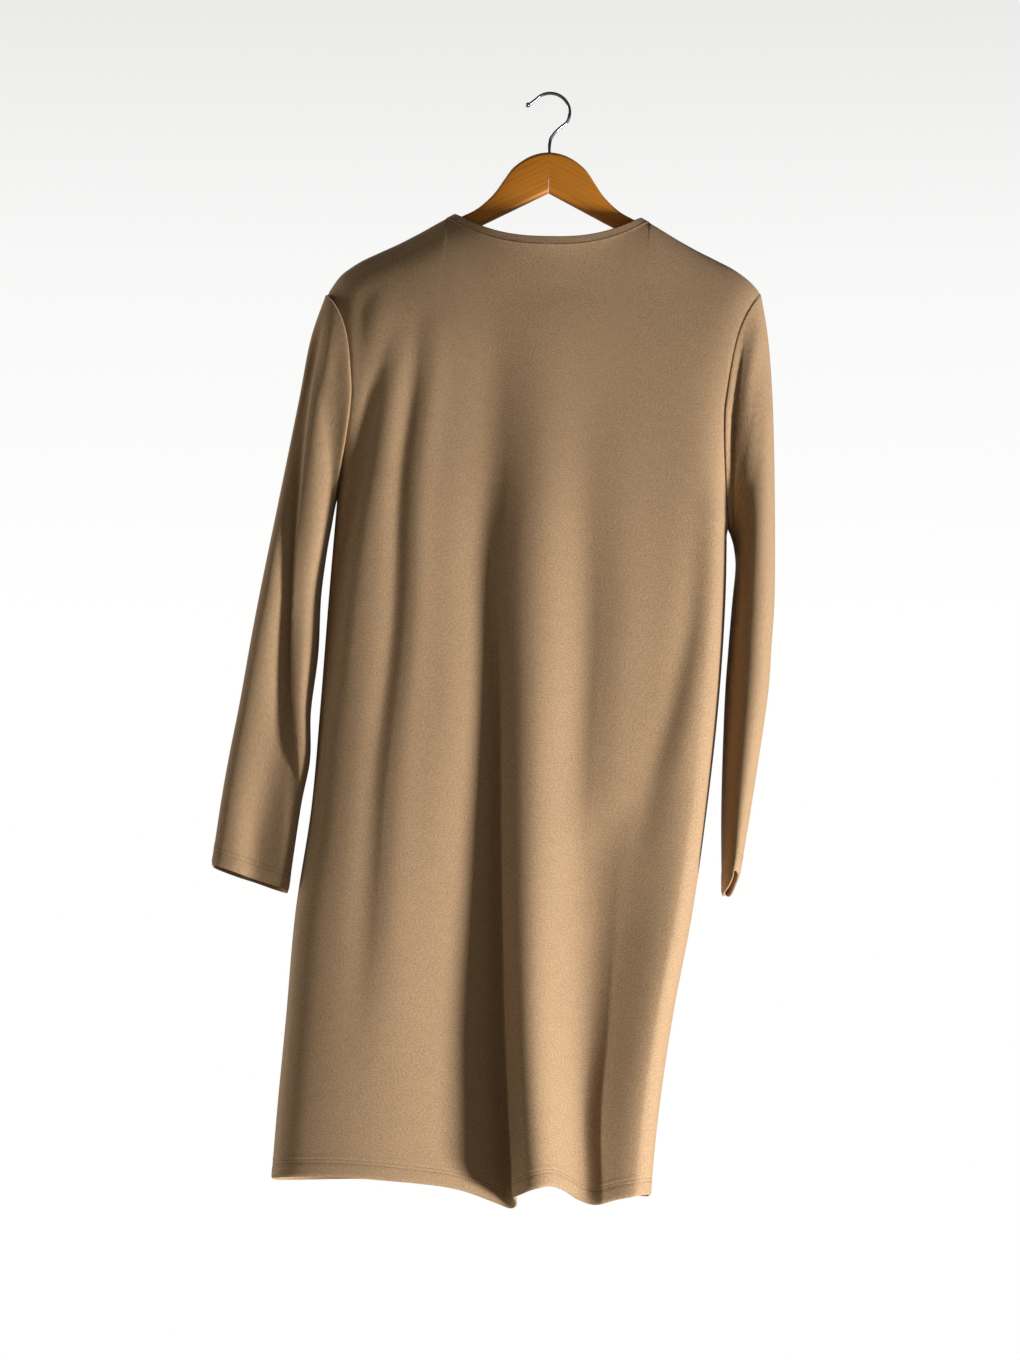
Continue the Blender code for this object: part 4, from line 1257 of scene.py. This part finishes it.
    def line_above_cuff(self, shell: Shell, height: float) -> tuple[Array, Array]:
        """Closed line of points and outward directions at a height above the cuff's edge."""
        run = lengths_along(shell.outer)
        to_cuff = run[-1] - run
        row = np.argmax(to_cuff < height, axis=0)
        column = np.arange(run.shape[1])
        above, below = to_cuff[row - 1, column], to_cuff[row, column]
        share = ((above - height) / (above - below))[:, None]
        points = shell.outer[row - 1, column] * (1 - share) + shell.outer[row, column] * share
        normals = shell.normals[row, column]
        return np.concatenate([points, points[:1]]), np.concatenate([normals, normals[:1]])


@dataclass
class NeckBand(Piece):
    """Turned edge round the neck, rounded at its free edge."""

    rise: float = 0.3
    profile_steps: int = 9

    def outline(self) -> Array:
        """Section of the band: share of the way off the neck, and height out of the cloth.

        Straight outer side, a half circle round the free edge, and straight inner side.
        """
        outer, inner = self.rise, -self.thickness - self.rise
        radius = (outer - inner) / 2
        turn = np.linspace(math.pi / 2, 3 * math.pi / 2, self.profile_steps)
        around = np.stack([radius * np.cos(turn), (outer + inner) / 2 + radius * np.sin(turn)], -1)
        flat = np.linspace(1.0, 0.1, 6)
        top = np.stack([flat * 8.0, np.full(6, outer)], -1)
        bottom = np.stack([flat[::-1] * 8.0, np.full(6, inner)], -1)
        return np.concatenate([top, around + (radius, 0.0), bottom])

    def build(self, yoke: Yoke, cut: Cut, material: bpy.types.Material) -> bpy.types.Object:
        """Carry the section round the neck and make the object."""
        shares = -np.cos(np.linspace(0.0, math.pi, cut.neck_columns * cut.column_steps + 1))
        halves = []
        for face in (Face.BACK, Face.FRONT):
            free = yoke.neck(face, shares, True)
            line, outward, away = yoke.neck_frame(face, shares)
            halves.append((free, line, outward))
        free, line, outward = (
            np.concatenate([b, f[-2:0:-1]]) for b, f in zip(halves[0], halves[1])
        )
        section = self.outline()
        width = np.linalg.norm(line - free, axis=-1)[:, None]
        away = (line - free) / width
        reach = section[:, 0] / 8.0 * width
        points = free[:, None] + away[:, None] * reach[..., None] + outward[:, None] * section[:, 1, None]
        rows, columns = points.shape[:2]
        index = np.arange(rows * columns).reshape(rows, columns)
        over = np.roll(index, -1, axis=0)
        faces = np.stack([index, over, np.roll(over, -1, axis=1), np.roll(index, -1, axis=1)], axis=-1)
        run = lengths_along(np.concatenate([line, line[:1]]))
        section_run = lengths_along(np.concatenate([section, section[:1]]))
        spots = np.stack(np.broadcast_arrays(run[:, None], section_run[None]), axis=-1)
        maps = np.stack([spots[:-1, :-1], spots[1:, :-1], spots[1:, 1:], spots[:-1, 1:]], axis=2)
        flat_points = points.reshape(-1, 3)
        core = np.broadcast_to(points.mean(axis=1, keepdims=True), points.shape).reshape(-1, 3)
        turned = turned_out(flat_points, flat_points - core, faces.reshape(-1, 4))
        return mesh_object(self.name, flat_points, turned, material, maps.reshape(-1, 4, 2))


@dataclass(frozen=True)
class HangerArms:
    """The two wooden arms, lofted from the joint in the middle to their rounded ends."""

    yoke: Yoke
    distance: tuple[float, ...] = (
        0.0, 10.0, 19.5, 29.3, 37.0, 42.0, 46.5, 53.0, 58.5, 68.0, 84.5, 105.0, 125.0, 145.0, 165.0, 190.0,
    )
    top: tuple[float, ...] = (
        57.7, 59.2, 62.7, 69.0, 76.2, 83.6, 90.6, 100.0, 106.0, 114.5, 123.7, 133.8, 144.2, 155.0, 164.8, 178.5,
    )
    under: tuple[float, ...] = (
        98.0, 103.2, 108.2, 113.3, 117.4, 120.0, 122.3, 125.8, 128.6, 133.6, 143.0, 153.0, 163.2, 173.4, 182.5,
        194.0,
    )
    thickness: float = 12.0
    edge_radius: float = 4.5
    end: float = 190.0
    end_round: float = 11.0
    end_thinned: float = 0.35
    joint_gap: float = 0.12
    joint_width: float = 0.38
    grain_slope: float = math.radians(26.0)

    def build(self, side: Side, material: bpy.types.Material, glue: bpy.types.Material) -> bpy.types.Object:
        """Make one arm: rounded upright sections along its length, closed at both ends.

        Args:
            side: Which arm.
            material: The varnished wood.
            glue: The pale line where the arms meet.

        Returns:
            The object, with each point's place in the plank as an attribute.
        """
        straight = np.linspace(self.joint_width, self.end - self.end_round, 110)
        straight = np.concatenate([[self.joint_gap], straight])
        tail = self.end - self.end_round * (1 - np.sin(np.radians(np.linspace(8.0, 88.0, 10))))
        distance = np.concatenate([straight, tail])
        top = curve(distance, self.distance, self.top)
        under = curve(distance, self.distance, self.under)
        past = np.maximum(0.0, distance - self.end + self.end_round) / self.end_round
        keep = np.sqrt(np.maximum(0.0, 1 - past ** 2))
        middle, half_height = (top + under) / 2, (under - top) / 2 * keep
        half_thickness = self.thickness / 2 * (self.end_thinned + (1 - self.end_thinned) * keep)
        radius = np.minimum(self.edge_radius, 0.9 * np.minimum(half_height, half_thickness))
        quarter = np.repeat(np.arange(4), 7)
        angle = np.radians(90.0 * quarter + np.tile(np.linspace(0.0, 90.0, 7), 4))
        sign_y = np.array((1, -1, -1, 1))[quarter]
        sign_z = np.array((-1, -1, 1, 1))[quarter]
        y = sign_y * (half_thickness - radius)[:, None] + radius[:, None] * np.cos(angle)
        z = sign_z * (half_height - radius)[:, None] - radius[:, None] * np.sin(angle)
        x = side.value * distance[:, None] + 0 * y
        drop = middle[:, None] + z
        grid_x, grid_drop = self.yoke.tilted(x, drop)
        points = np.stack([grid_x, y, -grid_drop], axis=-1)
        rows, columns = points.shape[:2]
        index = np.arange(rows * columns).reshape(rows, columns)
        over = np.roll(index, -1, axis=1)
        sides = np.stack([index[:-1], index[1:], over[1:], over[:-1]], axis=-1).reshape(-1, 4)
        half = columns // 2
        steps = np.arange(half - 1)
        caps = []
        for row in (0, rows - 1):
            ring = index[row]
            caps.append(np.stack([ring[steps], ring[steps + 1], ring[columns - 2 - steps], ring[columns - 1 - steps]], -1))
        faces = np.concatenate([sides] + caps)
        flat_points = points.reshape(-1, 3)
        core = np.broadcast_to(points.mean(axis=1, keepdims=True), points.shape).copy()
        core[0] += (side.value * 1.0, 0.0, 0.0)
        core[-1] -= (side.value * 1.0, 0.0, 0.0)
        turned = turned_out(flat_points, flat_points - core.reshape(-1, 3), faces)
        name = f"hanger_arm_{side.name.lower()}_wood"
        made = mesh_object(name, flat_points, turned, material)
        cosine, sine = math.cos(self.grain_slope), math.sin(self.grain_slope)
        run = distance[:, None] * cosine + drop * sine + 300.0 * (side.value + 1)
        plank = np.stack([run, drop * cosine - distance[:, None] * sine, y], axis=-1) * MM
        layer = made.data.attributes.new("plank", "FLOAT_VECTOR", "POINT")
        layer.data.foreach_set("vector", plank.astype(np.float32).ravel())
        made.data.materials.append(glue)
        glued = np.arange(len(faces)) < columns
        made.data.polygons.foreach_set("material_index", glued.astype(np.int32))
        return made


@dataclass(frozen=True)
class Hook:
    """Bent wire hook with a ball at its free end."""

    yoke: Yoke
    wire: float = 1.6
    crown: float = 19.0
    ball: float = 2.5
    stem_foot: float = 83.7
    around: int = 20

    def route(self) -> tuple[Array, Array]:
        """Middle line of the wire from its foot to its ball, and the radius along it."""
        stem = [(0.0, self.stem_foot), (0.0, 66.0), (0.0, 50.0)]
        bend = [(1.2, 43.5), (5.4, 37.2), (11.2, 31.6)]
        angle = np.radians(np.arange(-30, 141, 17))
        centre = self.crown - self.wire
        crown = list(zip(self.crown * np.cos(angle), centre - self.crown * np.sin(angle)))
        lip = [(-17.6, 7.6), (-20.6, 9.9), (-24.2, 11.4)]
        corners = np.array(stem + bend + crown + lip)
        steps = lengths_along(corners)
        ball_start = steps[-1] - 2.4 * self.ball
        places = np.concatenate([
            np.linspace(0.0, ball_start - self.wire / 2, 120),
            np.linspace(ball_start, steps[-1], 22),
        ])
        x = curve(places, steps, corners[:, 0])
        drop = curve(places, steps, corners[:, 1])
        off = steps[-1] - places - self.ball
        ball = np.sqrt(np.maximum(0.0, self.ball ** 2 - off ** 2))
        radius = np.maximum(ball, np.where(off > 0, self.wire, 0.05))
        x, drop = self.yoke.tilted(x, drop)
        return np.stack([x, 0 * x, -drop], axis=-1), radius

    def build(self, material: bpy.types.Material) -> bpy.types.Object:
        """Carry a circle of the wire's radius along the route, and close both ends."""
        line, radius = self.route()
        way = unit(np.gradient(line, axis=0))
        side = np.array((0.0, 1.0, 0.0))
        up = np.cross(side, way)
        turn = np.linspace(0.0, 2 * math.pi, self.around, endpoint=False)
        ring = np.cos(turn)[None, :, None] * up[:, None] + np.sin(turn)[None, :, None] * side
        points = line[:, None] + ring * radius[:, None, None]
        rows, columns = points.shape[:2]
        index = np.arange(rows * columns).reshape(rows, columns)
        over = np.roll(index, -1, axis=1)
        sides = np.stack([index[:-1], index[1:], over[1:], over[:-1]], axis=-1).reshape(-1, 4)
        half = columns // 2
        steps = np.arange(half - 1)
        caps = [
            np.stack([i[steps], i[steps + 1], i[columns - 2 - steps], i[columns - 1 - steps]], -1)
            for i in (index[0], index[-1])
        ]
        flat_points = points.reshape(-1, 3)
        core = np.repeat(line, columns, axis=0)
        core[:columns] += way[0]
        core[-columns:] -= way[-1]
        faces = turned_out(flat_points, flat_points - core, np.concatenate([sides] + caps))
        return mesh_object("hanger_hook_wire", flat_points, faces, material)


@dataclass
class Studio:
    """Camera, lights, backdrop and floor, at the photograph's viewing angle."""

    place: tuple[float, float, float] = (-0.039496, -4.952547, -1.263380)
    pitch: float = math.radians(97.9)
    lens: float = 183.8
    floor_height: float = -1.45
    key_place: tuple[float, float, float] = (2.5, -1.12, -2.1)
    key_aim: tuple[float, float, float] = (0.0, 0.0, -0.9)
    key_power: float = 195.0
    key_size: float = 0.62
    key_colour: tuple[float, float, float] = (0.965, 1.0, 1.085)
    fill: float = 0.035
    fill_colour: tuple[float, float, float] = (1.0, 0.88, 0.70)

    def camera(self) -> None:
        """Make the camera and give it to the scene."""
        data = bpy.data.cameras.new("camera")
        data.sensor_fit = "HORIZONTAL"
        data.sensor_width = 36.0
        data.lens = self.lens
        data.clip_end = 100.0
        made = bpy.data.objects.new("camera", data)
        made.location = self.place
        made.rotation_euler = (self.pitch, 0.0, 0.0)
        bpy.context.scene.collection.objects.link(made)
        bpy.context.scene.camera = made

    def lamp(self, name: str, place: tuple[float, float, float], aim: tuple[float, float, float],
             power: float, size: float) -> None:
        """Add a round lamp at a place, looking at a point."""
        data = bpy.data.lights.new(name, "AREA")
        data.shape = "DISK"
        data.energy = power
        data.size = size
        data.color = self.key_colour
        made = bpy.data.objects.new(name, data)
        made.location = place
        made.rotation_euler = (Vector(aim) - Vector(place)).to_track_quat("-Z", "Y").to_euler()
        bpy.context.scene.collection.objects.link(made)

    def sun(self, name: str, travel: tuple[float, float, float], strength: float, spread: float) -> None:
        """Add a broad distant light that travels in a direction."""
        data = bpy.data.lights.new(name, "SUN")
        data.energy = strength
        data.angle = spread
        made = bpy.data.objects.new(name, data)
        made.rotation_euler = Vector(travel).to_track_quat("-Z", "Y").to_euler()
        bpy.context.scene.collection.objects.link(made)

    def backdrop(self) -> None:
        """White surroundings, a little greyer higher up, that light the part less than they show."""
        world = bpy.data.worlds.new("studio")
        bpy.context.scene.world = world
        world.use_nodes = True
        tree = world.node_tree
        tree.nodes.clear()
        output = tree.nodes.new("ShaderNodeOutputWorld")
        shown = tree.nodes.new("ShaderNodeBackground")
        lit = tree.nodes.new("ShaderNodeBackground")
        mix = tree.nodes.new("ShaderNodeMixShader")
        path = tree.nodes.new("ShaderNodeLightPath")
        place = tree.nodes.new("ShaderNodeTexCoord")
        split = tree.nodes.new("ShaderNodeSeparateXYZ")
        shades = tree.nodes.new("ShaderNodeValToRGB")
        shades.color_ramp.elements[0].position = 0.15
        shades.color_ramp.elements[0].color = (1.0, 1.0, 0.995, 1.0)
        shades.color_ramp.elements[1].position = 0.275
        shades.color_ramp.elements[1].color = (0.80, 0.80, 0.79, 1.0)
        shades.color_ramp.elements.new(0.215).color = (0.94, 0.94, 0.935, 1.0)
        tree.links.new(place.outputs["Generated"], split.inputs["Vector"])
        tree.links.new(split.outputs["Z"], shades.inputs["Fac"])
        tree.links.new(shades.outputs["Color"], shown.inputs["Color"])
        lit.inputs["Color"].default_value = (*self.fill_colour, 1.0)
        lit.inputs["Strength"].default_value = self.fill
        tree.links.new(path.outputs["Is Camera Ray"], mix.inputs["Fac"])
        tree.links.new(lit.outputs["Background"], mix.inputs[1])
        tree.links.new(shown.outputs["Background"], mix.inputs[2])
        tree.links.new(mix.outputs["Shader"], output.inputs["Surface"])

    def floor(self) -> None:
        """Pale floor under the hanging part, with a rim that rounds away."""
        radius = np.linspace(0.02, 9.0, 40)[:, None] * 1000.0
        turn = np.linspace(0.0, 2 * math.pi, 65)[None, :-1]
        points = np.stack([
            radius * np.cos(turn),
            radius * np.sin(turn),
            self.floor_height * 1000.0 - 0.00001 * (radius / 10.0) ** 2 + 0 * turn,
        ], axis=-1)
        rows, columns = points.shape[:2]
        index = np.arange(rows * columns).reshape(rows, columns)
        over = np.roll(index, -1, axis=1)
        faces = np.stack([index[:-1], index[1:], over[1:], over[:-1]], axis=-1).reshape(-1, 4)
        made = mesh_object("floor", points.reshape(-1, 3), faces, PaleFloor("pale_floor").material())
        made.visible_shadow = False

    def build(self) -> None:
        """Set up the whole studio."""
        self.camera()
        self.lamp("key_light", self.key_place, self.key_aim, self.key_power, self.key_size)
        self.sun("broad_fill", (-0.5, 0.8, 0.4), 0.55, 1.0)
        self.sun("left_rim", (0.9, -0.22, 0.1), 1.7, 0.9)
        self.sun("front_fill", (0.35, -0.8, -0.45), 0.6, 0.6)
        self.backdrop()
        self.floor()
        bpy.context.scene.view_settings.view_transform = "Standard"


@dataclass
class Garment:
    """The whole tunic top: two panels, two sleeves, the neck band and their stitches."""

    yoke: Yoke = field(default_factory=Yoke)
    cut: Cut = field(default_factory=Cut)
    tacks: tuple[tuple[float, float], ...] = ((-39.0, -31.0), (10.0, 14.5))

    def armholes(self) -> dict[Side, Armhole]:
        """Both armholes by side."""
        return {
            Side.LEFT: Armhole(self.yoke, Side.LEFT, (-206.4, 396.0)),
            Side.RIGHT: Armhole(self.yoke, Side.RIGHT, (170.8, 430.0)),
        }

    def panels(self) -> tuple[Panel, Panel]:
        """Back and front with their hems and folds."""
        back = Panel(
            "back_panel_cloth", "back_panel", face=Face.BACK, folds=BACK_FOLDS,
            hem_x=(
                -268.0, -190.0, -145.0, -112.0, -87.0, -73.0, -52.0, -35.0, -18.0, 4.0, 13.0, 24.0, 36.0, 62.0, 93.0,
            ),
            hem_drop=(
                1053.0, 1054.0, 1058.5, 1065.0, 1077.0, 1082.0, 1077.5, 1072.0, 1066.0, 1063.5, 1067.0, 1074.0,
                1079.0, 1074.5, 1069.0,
            ),
            depth=(35.0, 40.5, 45.0, 45.0, 43.0, 46.0, 47.0),
        )
        front = Panel(
            "front_panel_cloth", "front_panel", face=Face.FRONT, folds=FRONT_FOLDS,
            hem_x=(-268.0, -180.0, -90.0, 0.0, 50.0, 93.0),
            hem_drop=(1053.0, 1052.0, 1058.0, 1056.0, 1063.0, 1069.0),
            depth=(38.0, 42.0, 44.0, 46.0, 48.0, 50.0, 50.0),
        )
        return back, front

    def sleeves(self) -> tuple[Sleeve, Sleeve]:
        """Both sleeves: outer x and drop, inner x and drop, half depth, middle y and lean."""
        left = Sleeve(
            "sleeve_left_cloth", "sleeve_left", side=Side.LEFT, roundness=0.4, pinch=0.16, back_share=0.66,
            stations=(
                (-232.5, 245.0, -208.8, 406.0, 41.0, 0.0, 0.0),
                (-243.5, 305.0, -211.6, 422.0, 47.0, 0.0, 0.0),
                (-261.8, 402.0, -216.6, 450.0, 51.0, 1.0, 0.02),
                (-278.0, 490.0, -221.8, 493.0, 49.0, 2.0, 0.10),
                (-287.6, 545.0, -224.2, 548.0, 46.0, 3.0, 0.16),
                (-298.6, 602.0, -231.0, 604.0, 43.0, 4.0, 0.08),
                (-308.0, 648.0, -231.6, 651.0, 41.0, 4.0, 0.02),
                (-315.6, 692.0, -240.0, 696.0, 39.0, 4.0, 0.0),
                (-324.6, 755.0, -251.8, 780.0, 34.0, 3.0, 0.0),
            ),
            folds=(
                Fold((
                    (175.0, -212.0, 7.0, 9.0, 0.0, 0.0, 0.0),
                    (230.0, -218.0, 7.0, 9.0, 1.0, 3.0, 3.0),
                    (296.0, -230.0, 7.0, 10.0, 3.0, 6.0, 4.0),
                    (393.0, -240.0, 8.0, 16.0, 4.0, 8.0, 4.0),
                    (490.0, -247.0, 8.0, 20.0, 4.0, 8.0, 4.0),
                    (587.0, -248.0, 9.0, 20.0, 5.0, 8.0, 4.0),
                    (665.0, -241.0, 9.0, 16.0, 4.0, 6.0, 3.0),
                    (750.0, -236.0, 9.0, 11.0, 0.0, 0.0, 0.0),
                )),
                Fold((
                    (500.0, -246.0, 14.0, 12.0, 0.0, 0.0, 0.0),
                    (560.0, -247.0, 16.0, 12.0, 0.0, 3.0, 2.0),
                    (640.0, -250.0, 18.0, 14.0, 0.0, 6.5, 4.0),
                    (700.0, -254.0, 18.0, 14.0, 0.0, 7.0, 4.0),
                    (800.0, -262.0, 18.0, 14.0, 0.0, 2.5, 2.0),
                )),
            ),
        )
        right = Sleeve(
            "sleeve_right_cloth", "sleeve_right", side=Side.RIGHT, twist=0.25, back_share=0.7, cuff_lift=9.0, cuff_fall=8.0,
            stations=(
                (210.8, 245.0, 174.2, 437.0, 43.0, 0.0, 0.0),
                (214.2, 305.0, 176.8, 446.0, 50.0, 0.0, 0.0),
                (215.4, 402.0, 178.4, 464.0, 56.0, 0.0, 0.0),
                (214.6, 495.0, 174.8, 500.0, 58.0, 0.0, 0.0),
                (211.2, 545.0, 170.6, 548.0, 57.0, 0.0, 0.0),
                (207.0, 596.0, 167.0, 598.0, 55.0, 0.0, 0.0),
                (192.2, 692.0, 163.4, 694.0, 52.0, 0.0, 0.0),
                (179.4, 768.0, 163.2, 782.0, 48.0, 0.0, 0.0),
            ),
            folds=(
                Fold((
                    (190.0, 196.0, 7.0, 10.0, 0.0, 0.0, 0.0),
                    (248.0, 187.0, 7.0, 11.0, 3.0, 7.0, 4.0),
                    (296.0, 181.0, 8.0, 12.0, 4.0, 10.0, 5.0),
                    (393.0, 176.0, 8.0, 12.0, 4.0, 10.0, 5.0),
                    (460.0, 175.0, 8.0, 12.0, 2.0, 6.0, 4.0),
                    (560.0, 174.0, 8.0, 12.0, 0.0, 0.0, 0.0),
                )),
            ),
        )
        return left, right

    def stitches(self, name: str, lines: list[tuple[Array, Array]], finishes: Finishes) -> None:
        """Lay rows of stitches that ride with the garment."""
        made = StitchRow().build(name, lines, finishes.thread)
        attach(made, ROOT)
        LOG.info("%s: %d faces", name, len(made.data.polygons))

    def build(self, finishes: Finishes) -> None:
        """Make every sewn piece and its stitches."""
        holes = self.armholes()
        hem_lines = []
        for panel in self.panels():
            shell = panel.shell(self.yoke, holes, self.cut)
            made = shell.build(panel.name, finishes.knit)
            panel.declare(made, (0.46, 0.95), 0.39, ["hanger_arm_left_wood", "hanger_arm_right_wood"])
            hem_lines += [panel.line_above_hem(shell, height) for height in panel.stitch_heights]
        self.stitches("hem_stitches", hem_lines, finishes)
        cuff_lines = []
        for sleeve in self.sleeves():
            shell = sleeve.shell(holes[sleeve.side], self.cut)
            made = shell.build(sleeve.name, finishes.knit)
            sleeve.declare(made, (0.31, 0.57), 0.122, ["back_panel_cloth", "front_panel_cloth"])
            cuff_lines += [sleeve.line_above_cuff(shell, height) for height in sleeve.stitch_heights]
        self.stitches("cuff_stitches", cuff_lines, finishes)
        band = NeckBand("neck_band_cloth", "neck_band")
        made = band.build(self.yoke, self.cut, finishes.knit)
        band.declare(made, (0.55, 0.0105), 0.0055, ["back_panel_cloth", "front_panel_cloth"])
        self.stitches("neck_stitches", self.neck_lines(), finishes)

    def neck_lines(self) -> list[tuple[Array, Array]]:
        """Topstitch round the neck, broken at the back's middle, and two short tacks above it."""
        turn = np.linspace(0.0, math.pi, 240)
        lines = []
        for face in (Face.BACK, Face.FRONT):
            line, outward, away = self.yoke.neck_frame(face, -np.cos(turn))
            points = line - away * 1.0 + outward * 0.45
            if face is Face.BACK:
                for start, stop in self.tacks:
                    held = (points[:, 0] > start) & (points[:, 0] < stop)
                    lines.append(((points - away * 0.9)[held], outward[held]))
                middle = (np.argmax(points[:, 0] > -6.0), np.argmax(points[:, 0] > 1.5))
                lines.append((points[:middle[0]], outward[:middle[0]]))
                lines.append((points[middle[1]:], outward[middle[1]:]))
            else:
                lines.append((points, outward))
        return lines


@dataclass
class Hanger:
    """Wooden clothes hanger with its wire hook."""

    yoke: Yoke = field(default_factory=Yoke)

    def build(self, finishes: Finishes) -> None:
        """Make both arms and the hook."""
        arms = HangerArms(self.yoke)
        for side in Side:
            made = arms.build(side, finishes.wood, finishes.glue)
            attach(made, ROOT)
            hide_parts(f"hanger_arm_{side.name.lower()}")
            LOG.info("%s: %d points", made.name, len(made.data.vertices))
        made = Hook(self.yoke).build(finishes.chrome)
        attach(made, ROOT)
        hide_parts("hanger_hook")
        LOG.info("%s: %d points", made.name, len(made.data.vertices))


def main() -> None:
    """Build the studio, the hanger and the garment."""
    logging.basicConfig(level=logging.INFO, format="%(name)s: %(message)s")
    Studio().build()
    finishes = Finishes.mixed()
    Hanger().build(finishes)
    Garment().build(finishes)
    bpy.context.view_layer.update()


if __name__ == "__main__":
    main()
